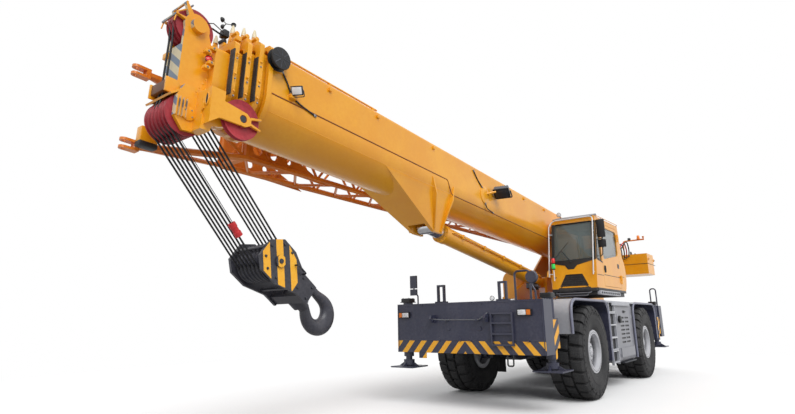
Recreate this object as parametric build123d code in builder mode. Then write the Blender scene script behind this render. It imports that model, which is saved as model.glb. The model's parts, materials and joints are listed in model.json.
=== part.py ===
from build123d import *
from math import asin, cos, degrees, radians, sin
import os

# Rough-terrain mobile crane, in millimetres.
# X points forward, Y to the operator's side, Z up; the slewing axis stands at X = 0 until export.

# Running gear
TYRE_DIAMETER = 1860
TYRE_WIDTH = 750
FLANGE_RADIUS = 420
BARREL_RADIUS = 350
WHEELBASE = 4620
FRONT_AXLE_X = 2500
WHEEL_Y = 1280
KINGPIN_Y = 890
AXLE_RADIUS = 130
RUN_GAP = 0.3
TREAD_DEPTH = 55
LUG_COUNT = 23
LUG_WIDTH = 165
LUG_INSET = 20

# Carrier
FRAME_HALF = 430
FRAME_BOTTOM = 1130
FRAME_END = -2700
PLATE_TOP = 1930
PLATE_HALF = 620
DECK_THICKNESS = 40
DECK_OUTER = 1620
DECK_OVERLAP = 60
ARCH_BEND = 320
FLAP_FRONT = 1250
FLAP_INNER = 1190
FLAP_REAR = 1400
FLAP_SIDE = 680
FLAP = 15
FLAP_BOTTOM = 320
TANK_BOTTOM = 560
TANK_DEPTH = 780
TANK_FRONT = 600
TANK_REAR = -880
LOUVRE_DEPTH = 12
BEARING_RADIUS = 760

# Outriggers
BOX_FRONT_X = 4940
BOX_REAR_X = -4880
BOX_HALF = 1560
BOX_BOTTOM = 990
PANEL = 40
BOX_WALL = 30
BEAM_WIDTH = 300
BEAM_HEIGHT = 420
BEAM_BOTTOM = 1120
BEAM_GAP = 8
TUNNEL_END = 1300
JACK_Y = 1432
JACK_RADIUS = 100
JACK_ROD = 65
FLOAT_HALF = 270
FLOAT_BOTTOM = 690
FLOAT_PLATE = 25
POST_HEIGHT = 390
RAIL_HEIGHT = 540
RAIL_RADIUS = 20
LAMP_DEPTH = 45
LAMP_Z = 1655
PLUGS = ((-340, 1440), (330, 1440), (-560, 1240), (-100, 1240), (120, 1240), (1250, 1240))
PLUG_RADIUS = 38
PLUG_HEIGHT = 18
EYE_RADIUS = 30
EYE_REACH = 100
EYE_Z = 1627

# Superstructure
TURNTABLE_BOTTOM = 2000
TURNTABLE_PLATE = 60
CHEEK_INNER = 500
CHEEK = 45
CHEEK_HOLES = ((-900, 2750, 200), (-150, 2600, 130), (-1750, 2700, 160))
PIVOT_X = -1600
PIVOT_Z = 3550
PIN_RADIUS = 90
FOOT_X = 1000
FOOT_Z = 2480
WEIGHT_FRONT = -3550
WEIGHT_DEPTH = 1050
WEIGHT_BOTTOM = 2880
WEIGHT_HEIGHT = 620
WEIGHT_HALF = 1600
WEIGHT_CORNER = 200
WEIGHT_JOINT = 25
WINCH_RADIUS = 250
TANK_OUTER_Y = 900
TANK_BEND = 250

# Cab
CAB_INNER_Y = 560
CAB_OUTER_Y = 1580
CAB_REAR = -650
CAB_EAVES_REAR = -420
CAB_BULGE = -810
CAB_FRONT = 1800
CAB_LEAN = 300
REAR_KNEE = -600
REAR_KNEE_Z = 3100
REAR_SILL = 3180
CAB_BOTTOM = 2190
CAB_TOP = 3920
CAB_WALL = 50
CAB_ROOF = 70
BELT = 2870
DOOR_REAR = -280
DOOR_FRONT = 1180
DOOR_GAP = 8
WINDOW_BEND = 90
GLASS = 10
GRILLE_HEIGHT = 340
GRILLE_DEPTH = 12

# Boom, drawn level with its pivot at the origin and then tilted
BOOM_ANGLE = 3.4
BOOM_HALF = 440
BOOM_TOP = 540
BOOM_BOTTOM = -480
BOOM_WALL = 14
BOOM_REAR = -350
BOOM_FRONT = 11650
NEST_STEP = 45
COLLAR_STEP = 135
COLLAR = 60
LIFT_PIN_U = 7650
LIFT_PIN_W = -790
LIFT_BARREL = 160
BRACKET_REAR = 7450
BRACKET_FRONT = 9730
BRACKET_TOP = -60
BRACKET_LIP = 130
BRACKET_INNER = 175
EYE_ROOM = 350
BRACKET_PLATE = 55
LIFT_ROD = 120
HEAD_REAR = 12210
HEAD_TAIL = 540
HEAD_PLATE = 40
HEAD_FRONT = 12540
LOWER_SHEAVE = (12430, -560)
UPPER_SHEAVE = (12400, 530)
SIDE_SHEAVE = (11940, -500)
SIDE_SHEAVE_Y = 450
SIDE_SHEAVE_HALF = 30
SHEAVE_RADIUS = 225
SHEAVE_PITCH = 70
GROOVE = 30
LOWER_COUNT = 6
UPPER_COUNT = 3
SEAT_GAP = 5

# Lattice jib, stowed beside the boom
JIB_LUG_U = 12650
JIB_LUG_RADIUS = 50
JIB_ROOT_U = 11100
JIB_TIP_U = 2300
JIB_NEAR = -600
JIB_ROOT_FAR = -1150
JIB_TIP_FAR = -900
JIB_LUG_LOW = -760
JIB_LUG_HIGH = 130
JIB_CHORD = 45
JIB_LACE = 22
JIB_ROOT_LOW = -440
JIB_ROOT_HIGH = 200
JIB_TIP_LOW = -60
JIB_TIP_HIGH = 260
JIB_BRACKETS = (2, 8)
LUG_PLATE = 30
JIB_BAYS = 10

# Hook
HANG_ANGLE = 40.8
BLOCK_ANGLE = 52
FALL = 1890
ROPE_RADIUS = 11
BLOCK_PLATE = 40
BLOCK_SPREAD = 45
GUARD_BARS = ((0, 247), (-170, -230), (110, -340))
SHANK_DROP = 690
THROAT_X = -95
THROAT_DROP = 1010
THROAT_RADIUS = 110
HOOK_BODY = ((40, 70), (0, 84), (-45, 106), (-90, 118), (-135, 98), (-180, 72))
HOOK_FLAT = 80
SHANK_RADIUS = 70
TIP = ((-265, 130, 56), (-258, 265, 34))

# Derived values
TYRE_RADIUS = TYRE_DIAMETER / 2
REAR_AXLE_X = FRONT_AXLE_X - WHEELBASE
DECK_INNER = PLATE_HALF - DECK_OVERLAP
DECK_TOP = PLATE_TOP + DECK_THICKNESS
BOX_TOP = PLATE_TOP
TANK_FACE = DECK_OUTER - DECK_THICKNESS
BEAM_OUTER_DROP = PANEL + BEAM_GAP + BEAM_WIDTH / 2
BEAM_INNER_DROP = BEAM_OUTER_DROP + BEAM_WIDTH + 2 * BEAM_GAP + BOX_WALL
BOX_DEPTH = BEAM_INNER_DROP + BEAM_WIDTH / 2 + BEAM_GAP + BOX_WALL
BOX_SPLIT = BEAM_OUTER_DROP + BEAM_WIDTH / 2 + BEAM_GAP + BOX_WALL
FRAME_FRONT = BOX_FRONT_X - BOX_DEPTH
FRAME_REAR = BOX_REAR_X + BOX_DEPTH
BASE_TOP = TURNTABLE_BOTTOM + TURNTABLE_PLATE
CHEEK_OUTER = CHEEK_INNER + CHEEK
TILT = radians(BOOM_ANGLE)
CORNERS = {"fl": (1, 1), "fr": (1, -1), "rl": (-1, 1), "rr": (-1, -1)}
LOW_X = BOX_REAR_X - (FLOAT_HALF - BEAM_OUTER_DROP)
LOWER_HALF = LOWER_COUNT * SHEAVE_PITCH / 2 + SEAT_GAP
BLOCK_HALF = LOWER_HALF + BLOCK_SPREAD
UPPER_HALF = UPPER_COUNT * SHEAVE_PITCH / 2 + SEAT_GAP
LUG_HALF = 60
LUG_TURN = 180 - degrees(asin(LUG_WIDTH / 2 / TYRE_RADIUS))


def block(low, high, mode=Mode.ADD):
    """Adds a box between two opposite corners to the part being built."""
    with Locations(tuple((a + b) / 2 for a, b in zip(low, high))):
        Box(*[b - a for a, b in zip(low, high)], mode=mode)


def slab(points, low, high, mode=Mode.ADD, corner=0):
    """Extrudes an outline in the XZ plane between two values of Y."""
    with BuildSketch(Plane(origin=(0, high, 0), x_dir=(1, 0, 0), z_dir=(0, -1, 0))) as outline:
        with BuildLine():
            Polyline(*points, close=True)
        make_face()
        if corner:
            fillet(outline.vertices(), corner)
    extrude(outline.sketch, amount=high - low, mode=mode)


def bar(start, end, radius, mode=Mode.ADD):
    """Adds a round bar between two points."""
    axis = Vector(*end) - Vector(*start)
    with BuildSketch(Plane(origin=start, z_dir=axis)) as circle:
        Circle(radius)
    extrude(circle.sketch, amount=axis.length, mode=mode)


def turned(points, centre, side=1):
    """Turns an outline of (axial, radius) points about an axis along Y."""
    with BuildSketch(Plane(origin=centre, x_dir=(0, side, 0), z_dir=(side, 0, 0))) as outline:
        with BuildLine():
            Polyline(*points, close=True)
        make_face()
    revolve(outline.sketch, axis=Axis(centre, (0, 1, 0)))


def hoop(points, radius, bend):
    """Adds a bent round tube through the points."""
    with BuildLine() as path:
        FilletPolyline(*points, radius=bend)
    with BuildSketch(Plane(origin=path.line @ 0, z_dir=path.line % 0)) as circle:
        Circle(radius)
    sweep(circle.sketch, path=path.line)


def strut(start, end, radius, sides=6):
    """Flat-sided tube between two points."""
    axis = Vector(*end) - Vector(*start)
    with BuildPart() as piece:
        with BuildSketch(Plane(origin=start, z_dir=axis)):
            RegularPolygon(radius, sides)
        extrude(amount=axis.length)
    return piece.part


def sheave_row(centre, count):
    """Row of grooved sheaves turned as one piece."""
    half = count * SHEAVE_PITCH / 2
    bed = ROPE_RADIUS + 2
    outline = [(-half, 0)]
    for index in range(count):
        low, high = index * SHEAVE_PITCH - half, (index + 1) * SHEAVE_PITCH - half
        middle = (low + high) / 2
        outline += [(low, SHEAVE_RADIUS - GROOVE - 20), (low + 5, SHEAVE_RADIUS), (low + 12, SHEAVE_RADIUS)]
        outline += [(middle - bed, SHEAVE_RADIUS - GROOVE), (middle + bed, SHEAVE_RADIUS - GROOVE)]
        outline += [(high - 12, SHEAVE_RADIUS), (high - 5, SHEAVE_RADIUS)]
    outline += [(half, SHEAVE_RADIUS - GROOVE - 20), (half, 0)]
    turned(outline, centre)


def boom_section(half, top, bottom, u):
    """Closed outline of a boom section: flat sides above a half round."""
    with BuildSketch(Plane.YZ.offset(u)) as outline:
        with BuildLine():
            seam = bottom + half
            line = Polyline((-half, seam), (-half, top), (half, top), (half, seam))
            ThreePointArc(line @ 1, (0, bottom), line @ 0)
        make_face()
        fillet(outline.vertices().group_by(Axis.Y)[-1], 50)
    return outline.sketch


def export(part, name, pose=Location()):
    """Writes one node in the shared frame, whose origin is under the middle of the whole."""
    moved = Part() + (Location((FRAME_X, 0, 0)) * pose * part)
    moved.label = name
    export_step(moved, f"parts/{name}.step")


def spot(u, w, y=0.0):
    """World point of a boom point at rest."""
    return (PIVOT_X + u * cos(TILT) - w * sin(TILT), y, PIVOT_Z + u * sin(TILT) + w * cos(TILT))


HEAD_REACH = spot(JIB_LUG_U + JIB_LUG_RADIUS, JIB_LUG_LOW - LUG_HALF)[0]
FRAME_X = -(HEAD_REACH + LOW_X) / 2
BOOM_POSE = Location((PIVOT_X, 0, PIVOT_Z)) * Rotation(0, -BOOM_ANGLE, 0)
FALLS_POSE = Location(spot(*LOWER_SHEAVE)) * Rotation(0, HANG_ANGLE, 0)
BLOCK_POSE = FALLS_POSE * Location((0, 0, -FALL)) * Rotation(0, BLOCK_ANGLE - HANG_ANGLE, 0)

# Carrier frame: box girder with arches over the axles, deck plate, slewing pedestal and engine rails
with BuildPart() as carrier_frame:
    slab(
        [
            (FRAME_FRONT, FRAME_BOTTOM + 60),
            (FRONT_AXLE_X + 520, FRAME_BOTTOM),
            (FRONT_AXLE_X - 520, FRAME_BOTTOM),
            (FRONT_AXLE_X - 900, FRAME_BOTTOM - 160),
            (REAR_AXLE_X + 900, FRAME_BOTTOM - 160),
            (REAR_AXLE_X + 520, FRAME_BOTTOM),
            (FRAME_END, FRAME_BOTTOM),
            (FRAME_END, PLATE_TOP),
            (FRAME_FRONT, PLATE_TOP),
        ],
        -FRAME_HALF,
        FRAME_HALF,
    )
    block((FRAME_END, -PLATE_HALF, PLATE_TOP - 60), (FRAME_FRONT, PLATE_HALF, PLATE_TOP))
    for side in (-1, 1):
        rail = sorted((side * (FRAME_HALF - 100), side * FRAME_HALF))
        block((FRAME_REAR, rail[0], FRAME_BOTTOM), (FRAME_END, rail[1], FRAME_BOTTOM + 220))
    with BuildSketch(Plane.XY.offset(PLATE_TOP - 60)):
        Circle(BEARING_RADIUS)
    extrude(amount=TURNTABLE_BOTTOM - RUN_GAP - PLATE_TOP + 60)

# Outrigger boxes, each with two tunnels side by side
with BuildPart() as outrigger_boxes:
    for face, way in ((BOX_FRONT_X, 1), (BOX_REAR_X, -1)):
        for near, far, low_y, high_y in (
            (0, PANEL, -BOX_HALF, BOX_HALF),
            (PANEL, BOX_SPLIT, -TUNNEL_END, BOX_HALF),
            (BOX_SPLIT, BOX_DEPTH, -BOX_HALF, TUNNEL_END),
        ):
            ends = sorted((face - way * near, face - way * far))
            block((ends[0], low_y, BOX_BOTTOM), (ends[1], high_y, BOX_TOP))
        for drop, low_y, high_y in (
            (BEAM_OUTER_DROP, -TUNNEL_END, BOX_HALF - BOX_WALL),
            (BEAM_INNER_DROP, -BOX_HALF + BOX_WALL, TUNNEL_END),
        ):
            centre = face - way * drop
            half = BEAM_WIDTH / 2 + BEAM_GAP
            block(
                (centre - half, low_y, BEAM_BOTTOM - RUN_GAP),
                (centre + half, high_y, BEAM_BOTTOM + BEAM_HEIGHT + BEAM_GAP),
                Mode.SUBTRACT,
            )
        for y, z in PLUGS:
            with BuildSketch(Plane.YZ.offset(face)) as plug:
                with Locations((y, z)):
                    Circle(PLUG_RADIUS)
            extrude(plug.sketch, amount=way * PLUG_HEIGHT, taper=20)

# Fender decks: a bent sheet over each wheel and the walkway that joins them
with BuildPart() as fender_decks:
    for side in (-1, 1):
        arches = (
            (FRONT_AXLE_X + FLAP_FRONT, 1310, FRONT_AXLE_X - FLAP_INNER, 670),
            (REAR_AXLE_X + FLAP_INNER, 600, REAR_AXLE_X - FLAP_REAR, 980),
        )
        low, high = sorted((side * FLAP_SIDE, side * DECK_OUTER))
        for front, front_foot, rear, rear_foot in arches:
            drop = DECK_TOP - DECK_THICKNESS
            with BuildSketch(Plane(origin=(0, high, 0), x_dir=(1, 0, 0), z_dir=(0, -1, 0))):
                with BuildLine():
                    outer = FilletPolyline(
                        (front, front_foot),
                        (front, DECK_TOP),
                        (rear, DECK_TOP),
                        (rear, rear_foot),
                        radius=ARCH_BEND,
                    )
                    inner = FilletPolyline(
                        (front - DECK_THICKNESS, front_foot),
                        (front - DECK_THICKNESS, drop),
                        (rear + DECK_THICKNESS, drop),
                        (rear + DECK_THICKNESS, rear_foot),
                        radius=ARCH_BEND - DECK_THICKNESS,
                    )
                    Line(outer @ 0, inner @ 0)
                    Line(outer @ 1, inner @ 1)
                make_face()
            extrude(amount=high - low)
        y = sorted((side * DECK_INNER, side * DECK_OUTER))
        block((arches[1][2] + ARCH_BEND, y[0], PLATE_TOP), (arches[0][0] - ARCH_BEND, y[1], DECK_TOP))
        flap = sorted((side * 960, side * 1500))
        x = arches[0][2]
        block((x, flap[0], FLAP_BOTTOM), (x + FLAP, flap[1], arches[0][3] + 40))
    with BuildSketch(Plane.XY.offset(PLATE_TOP - 10)):
        Circle(BEARING_RADIUS + 40)
    extrude(amount=DECK_THICKNESS + 20, mode=Mode.SUBTRACT)

# Side tanks under the decks, with louvres and a foot step
with BuildPart() as side_tanks:
    for side in (-1, 1):
        y = sorted((side * (TANK_FACE - TANK_DEPTH), side * TANK_FACE))
        block((TANK_REAR, y[0], TANK_BOTTOM), (TANK_FRONT, y[1], PLATE_TOP))
    fillet(side_tanks.edges().filter_by(Axis.X).group_by(Axis.Z)[0], 90)
    for side in (-1, 1):
        face = Plane(origin=(0, side * TANK_FACE, 0), x_dir=(1, 0, 0), z_dir=(0, side, 0))
        with BuildSketch(face) as vents:
            with Locations(((TANK_REAR + TANK_FRONT) / 2, -side * 1300)):
                with GridLocations(420, 95, 2, 7):
                    SlotOverall(330, 40)
        extrude(vents.sketch, amount=-LOUVRE_DEPTH, mode=Mode.SUBTRACT)
        step = sorted((side * (TANK_FACE - 200), side * (TANK_FACE + 35)))
        block((TANK_REAR + 120, step[0], TANK_BOTTOM + 120), (TANK_FRONT - 120, step[1], TANK_BOTTOM + 330))

# Ladders at both sides and on the front panel
with BuildPart() as access_ladders:
    for side in (-1, 1):
        y = sorted((side * (DECK_OUTER - 50), side * DECK_OUTER))
        for x in (760, 1210):
            block((x, y[0], TANK_BOTTOM), (x + 30, y[1], PLATE_TOP))
        for step in range(5):
            z = TANK_BOTTOM + 40 + 270 * step
            block((790, y[0], z), (1210, y[1], z + 35))
    for y in (560, 970):
        block((BOX_FRONT_X, y, 1140), (BOX_FRONT_X + 50, y + 30, 1720))
    for z in (1140, 1330, 1520, 1690):
        block((BOX_FRONT_X + 10, 590, z), (BOX_FRONT_X + 50, 970, z + 30))

# Posts, rails and mirrors that stand on the boxes
with BuildPart() as deck_rails:
    for y in (-870, 530):
        x = BOX_FRONT_X - 640
        for dy in (-90, 50):
            block((x, y + dy, BOX_TOP), (x + 60, y + dy + 40, BOX_TOP + POST_HEIGHT))
        block((x, y - 90, BOX_TOP + POST_HEIGHT - 40), (x + 60, y + 90, BOX_TOP + POST_HEIGHT))
        block((x - 20, y - 130, BOX_TOP), (x + 80, y + 130, BOX_TOP + 50))
    outer, inner = BOX_REAR_X + BEAM_OUTER_DROP, BOX_REAR_X + BEAM_INNER_DROP
    for x, y_low, y_high in ((BOX_FRONT_X - 420, 880, 1180), (outer, 1330, 1500), (inner, -1500, -1330)):
        foot, top = BOX_TOP, BOX_TOP + RAIL_HEIGHT
        hoop([(x, y_low, foot), (x, y_low, top), (x, y_high, top), (x, y_high, foot)], RAIL_RADIUS, 70)
    x, arm = BOX_FRONT_X - BEAM_INNER_DROP, -1520
    hoop([(x, arm + 100, BOX_TOP), (x, arm + 100, BOX_TOP + 180), (x, arm, BOX_TOP + 330), (x, arm, BOX_TOP + 600)], 16, 40)
    for low, high in ((200, 330), (350, 620)):
        block((x - 10, arm - 85, BOX_TOP + low), (x + 25, arm + 85, BOX_TOP + high))
    x, arm = BOX_FRONT_X - BEAM_OUTER_DROP, 1300
    hoop([(x, arm + 60, BOX_TOP), (x, arm + 60, BOX_TOP + 150), (x, arm, BOX_TOP + 260), (x, arm, BOX_TOP + 420)], 16, 40)
    with BuildSketch(Plane.YZ.offset(x - 30)) as round_mirror:
        with Locations((arm, BOX_TOP + 400)):
            Circle(115)
    extrude(round_mirror.sketch, amount=60, taper=12)

# Lamp clusters on the front panel and behind the rear box
with BuildPart() as carrier_lamps:
    for face, way in ((BOX_FRONT_X, 1), (BOX_REAR_X, -1)):
        for y_low, y_high in ((1090, 1350), (-1500, -1240)):
            x = sorted((face, face + way * LAMP_DEPTH))
            block((x[0], y_low, LAMP_Z), (x[1], y_high, LAMP_Z + 115))
    fillet(carrier_lamps.edges().filter_by(Axis.X), 20)

with BuildPart() as engine_block:
    block((-3950, -360, FRAME_BOTTOM + 220), (-2850, 360, 1900))

with BuildPart() as engine_hood:
    block((FRAME_REAR, -DECK_INNER, 1480), (-2780, DECK_INNER, 2060))
    fillet(engine_hood.edges().group_by(Axis.Z)[-1].filter_by(Axis.X), 60)
    block((FRAME_REAR, -DECK_INNER + 25, 1480), (-2805, DECK_INNER - 25, 2035), Mode.SUBTRACT)
    with BuildSketch(Plane.XZ):
        with Locations(((FRAME_REAR - 2780) / 2, 1780)):
            with GridLocations(420, 90, 2, 4):
                SlotOverall(340, 40)
    extrude(amount=DECK_INNER + 10, both=True, mode=Mode.SUBTRACT)

# Eyes on the front panel for the tie-back rope
with BuildPart() as tie_eyes:
    for y in (-663, 500):
        x, z, eye = BOX_FRONT_X, EYE_Z, BOX_FRONT_X + EYE_REACH
        slab([(x, z - 75), (eye + 25, z - 65), (eye + 65, z), (eye + 25, z + 65), (x, z + 75)], y - 20, y + 20)
        bar((eye, y - 20, z), (eye, y + 20, z), EYE_RADIUS, Mode.SUBTRACT)

# Axles: turned housings with the yokes that carry the kingpins
with BuildPart() as axles:
    for x in (FRONT_AXLE_X, REAR_AXLE_X):
        half = [(0, 195), (90, 190), (170, 150), (240, AXLE_RADIUS), (735, AXLE_RADIUS - 25), (770, AXLE_RADIUS - 25)]
        outline = [(-770, 0)] + [(-y, r) for y, r in reversed(half)] + half[1:] + [(770, 0)]
        turned(outline, (x, 0, TYRE_RADIUS))
        for side in (-1, 1):
            pad = sorted((side * 300, side * 420))
            block((x - 150, pad[0], TYRE_RADIUS), (x + 150, pad[1], FRAME_BOTTOM))
            web = sorted((side * 735, side * 775))
            block((x - 85, web[0], TYRE_RADIUS - 195), (x + 85, web[1], TYRE_RADIUS + 195))
            arm = sorted((side * 735, side * (KINGPIN_Y + 80)))
            for z in (TYRE_RADIUS - 195, TYRE_RADIUS + 155):
                block((x - 85, arm[0], z), (x + 85, arm[1], z + 40))


def knuckle(x, side):
    """Hub carrier that turns in the yoke."""
    with BuildPart() as piece:
        half = 155 - RUN_GAP
        bar((x, side * KINGPIN_Y, TYRE_RADIUS - half), (x, side * KINGPIN_Y, TYRE_RADIUS + half), 95)
        bar((x, side * KINGPIN_Y, TYRE_RADIUS), (x, side * (WHEEL_Y - 180 - RUN_GAP), TYRE_RADIUS), 120)
    return piece.part


def lug(side, index):
    """Tread lug of one row, sloping to the shoulder, at its turn about the axle."""
    middle = TYRE_WIDTH / 4
    base = TYRE_RADIUS - TREAD_DEPTH
    crown = (TYRE_RADIUS**2 - LUG_WIDTH**2 / 4) ** 0.5
    place = Rotation(0, LUG_TURN + 360 / LUG_COUNT * index, 0) * Location((0, side * middle, 0))
    with BuildPart() as piece:
        with BuildSketch(Plane(origin=(-side * LUG_WIDTH / 2, 0, 0), x_dir=(0, side, 0), z_dir=(side, 0, 0))):
            with BuildLine():
                Polyline(
                    (LUG_INSET - middle, base - 40),
                    (LUG_INSET - middle, crown),
                    (middle - 30, crown - 12),
                    (middle - 6, base - 70),
                    close=True,
                )
            make_face()
        extrude(amount=LUG_WIDTH)
    return place * piece.part


# Tyre at the origin: flat-faced carcass with a pair of lugs on each face, out to the tyre's radius at their corners
with BuildPart() as tyre:
    half = TYRE_WIDTH / 2
    outline = [(300 - RUN_GAP, FLANGE_RADIUS + 10), (half, 640), (half - 45, TYRE_RADIUS - TREAD_DEPTH)]
    facet = LUG_TURN - 90 + 180 / LUG_COUNT
    for way, radius in [(-y, r) for y, r in outline] + outline[::-1]:
        with BuildSketch(Plane(origin=(0, way, 0), x_dir=(1, 0, 0), z_dir=(0, 1, 0))):
            RegularPolygon(radius, LUG_COUNT, rotation=facet)
    loft(ruled=True)
    add([lug(side, index) for side in (-1, 1) for index in range(LUG_COUNT)])
    with BuildSketch(Plane(origin=(0, -half, 0), x_dir=(1, 0, 0), z_dir=(0, 1, 0))):
        RegularPolygon(BARREL_RADIUS + RUN_GAP, LUG_COUNT, major_radius=False, rotation=facet)
    extrude(amount=TYRE_WIDTH, mode=Mode.SUBTRACT)

# Rim at the origin, with a dished disc and the planetary hub
with BuildPart() as rim:
    inner = BARREL_RADIUS - 20
    turned(
        [
            (-330, inner),
            (-330, FLANGE_RADIUS),
            (-300, FLANGE_RADIUS),
            (-300, BARREL_RADIUS),
            (300, BARREL_RADIUS),
            (300, FLANGE_RADIUS),
            (330, FLANGE_RADIUS),
            (330, inner + 20),
            (260, inner),
            (170, inner),
            (150, inner - 40),
            (60, 235),
            (60, 200),
            (200, 185),
            (235, 165),
            (250, 120),
            (250, 0),
            (-180, 0),
            (-180, inner),
        ],
        (0, 0, 0),
    )


def outrigger(way, side):
    """Beam with its jack tube, and the jack rod with its float."""
    face = BOX_FRONT_X if way > 0 else BOX_REAR_X
    x = face - way * (BEAM_OUTER_DROP if side < 0 else BEAM_INNER_DROP)
    bottom, top = BEAM_BOTTOM, BEAM_BOTTOM + BEAM_HEIGHT
    half = BEAM_WIDTH / 2
    with BuildPart() as beam:
        y = sorted((-side * (BOX_HALF - BOX_WALL - 50), side * (JACK_Y - 60)))
        block((x - half, y[0], bottom), (x + half, y[1], top))
        bar((x, side * JACK_Y, 900), (x, side * JACK_Y, BOX_TOP + 40), JACK_RADIUS)
        y = sorted((side * (BOX_HALF - 20), side * (JACK_Y + JACK_RADIUS - 40)))
        block((x - half, y[0], bottom - 40), (x + half, y[1], top + 60))
        bar((x, side * JACK_Y, 900), (x, side * JACK_Y, BOX_TOP), JACK_ROD + RUN_GAP, Mode.SUBTRACT)
    with BuildPart() as jack:
        bar((x, side * JACK_Y, FLOAT_BOTTOM), (x, side * JACK_Y, BOX_TOP - 40), JACK_ROD)
        with BuildSketch(Plane.XY.offset(FLOAT_BOTTOM)):
            with Locations((x, side * JACK_Y)):
                Rectangle(2 * FLOAT_HALF, 2 * FLOAT_HALF)
        extrude(amount=FLOAT_PLATE)
        for along, across in ((FLOAT_HALF - 30, 12), (12, FLOAT_HALF - 30)):
            with BuildSketch(Plane.XY.offset(FLOAT_BOTTOM + FLOAT_PLATE)):
                with Locations((x, side * JACK_Y)):
                    Rectangle(2 * along, 2 * across)
            with BuildSketch(Plane.XY.offset(FLOAT_BOTTOM + 120)):
                with Locations((x, side * JACK_Y)):
                    Rectangle(min(2 * along, 160), min(2 * across, 160))
            loft(ruled=True)
        with Locations((x, side * JACK_Y, FLOAT_BOTTOM + 100)):
            Cylinder(110, 100)
    return beam.part, jack.part


# Turntable: plate on the bearing, two cheeks, lift foot, cab platform and the arms for the counterweight
with BuildPart() as turntable_frame:
    with BuildSketch(Plane.XY.offset(TURNTABLE_BOTTOM)):
        Circle(BEARING_RADIUS + 120)
    extrude(amount=TURNTABLE_PLATE)
    block((-2300, -PLATE_HALF, TURNTABLE_BOTTOM), (1450, PLATE_HALF, BASE_TOP))
    cheek = [
        (1450, TURNTABLE_BOTTOM),
        (1450, 2300),
        (500, 2640),
        (-950, 3650),
        (-1380, 3880),
        (-1820, 3880),
        (-2150, 3560),
        (WEIGHT_FRONT, WEIGHT_BOTTOM + WEIGHT_HEIGHT - 40),
        (WEIGHT_FRONT, WEIGHT_BOTTOM),
        (-2300, 2500),
        (-2300, TURNTABLE_BOTTOM),
    ]
    for side in (-1, 1):
        y = sorted((side * CHEEK_INNER, side * CHEEK_OUTER))
        slab(cheek, y[0], y[1])
        for x, z, radius in CHEEK_HOLES:
            bar((x, y[0], z), (x, y[1], z), radius, Mode.SUBTRACT)
        bar((PIVOT_X, side * CHEEK_INNER, PIVOT_Z), (PIVOT_X, side * (CHEEK_OUTER + 40), PIVOT_Z), 2 * PIN_RADIUS)
        y = sorted((side * 150, side * 200))
        slab([(760, 2030), (1260, 2030), (1120, 2600), (880, 2600)], y[0], y[1])
    bar((PIVOT_X, -CHEEK_OUTER - 30, PIVOT_Z), (PIVOT_X, CHEEK_OUTER + 30, PIVOT_Z), PIN_RADIUS)
    bar((FOOT_X, -200, FOOT_Z), (FOOT_X, 200, FOOT_Z), 60)
    block((CAB_REAR + 60, CHEEK_OUTER, CAB_BOTTOM - 90), (CAB_FRONT - 60, CAB_OUTER_Y - 40, CAB_BOTTOM))
    block((-500, -TANK_OUTER_Y, TURNTABLE_BOTTOM + 100), (1400, -CHEEK_OUTER, TURNTABLE_BOTTOM + 150))

with BuildPart() as hydraulic_tank:
    block((-450, -TANK_OUTER_Y, TURNTABLE_BOTTOM + 150), (1380, -CHEEK_OUTER, 2800))
    fillet(hydraulic_tank.edges().filter_by(Axis.X).group_by(Axis.Z)[-1].sort_by(Axis.Y)[0], TANK_BEND)
    fillet(hydraulic_tank.edges().filter_by(Axis.Z).group_by(Axis.Y)[0], 60)

# Counterweight of two slabs with a joint between them
with BuildPart() as counterweight:
    rear = WEIGHT_FRONT - WEIGHT_DEPTH
    with BuildSketch(Plane.XY.offset(WEIGHT_BOTTOM)) as plan:
        with Locations(((WEIGHT_FRONT + rear) / 2, 0)):
            Rectangle(WEIGHT_DEPTH, 2 * WEIGHT_HALF)
        chamfer(plan.vertices().group_by(Axis.X)[0], WEIGHT_CORNER)
    extrude(amount=WEIGHT_HEIGHT)
    with BuildSketch(Plane.XY.offset(WEIGHT_BOTTOM + WEIGHT_HEIGHT / 2 - 8)) as joint:
        add(plan.sketch.face())
        offset(amount=-WEIGHT_JOINT, mode=Mode.SUBTRACT)
    extrude(joint.sketch, amount=16, mode=Mode.SUBTRACT)

with BuildPart() as winches:
    for x, z in ((-2520, 3020), (-3050, 3150)):
        bar((x, -CHEEK_INNER, z), (x, CHEEK_INNER, z), 90)
        bar((x, -380, z), (x, 380, z), WINCH_RADIUS - 60)
        for y in (-400, 360):
            bar((x, y, z), (x, y + 40, z), WINCH_RADIUS)


def lean(z):
    """X of the windscreen's face at a height."""
    return CAB_FRONT - CAB_LEAN * (z - CAB_BOTTOM) / (CAB_TOP - CAB_BOTTOM)


# Cab panels
EAVES = CAB_TOP - CAB_ROOF
SILL = CAB_BOTTOM + CAB_WALL
SEAT_X = 350
SEAT_Y = (CAB_INNER_Y + CAB_OUTER_Y) / 2
def rear_x(z):
    """X of the rear wall's face where it is straight."""
    return CAB_EAVES_REAR + (REAR_KNEE - CAB_EAVES_REAR) * (EAVES - z) / (EAVES - REAR_KNEE_Z)


def rear_edge(inset):
    """Draws the rear wall's outline, straight above and bulging below, and returns its two ends."""
    straight = Line((CAB_EAVES_REAR + inset, EAVES), (REAR_KNEE + inset, REAR_KNEE_Z))
    bulge = ThreePointArc(straight @ 1, (CAB_BULGE + inset, BELT - 150), (CAB_REAR + inset, SILL))
    return straight @ 0, bulge @ 1


with BuildPart() as cab_floor:
    block((CAB_REAR, CAB_INNER_Y, CAB_BOTTOM), (lean(SILL), CAB_OUTER_Y, SILL))

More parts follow.
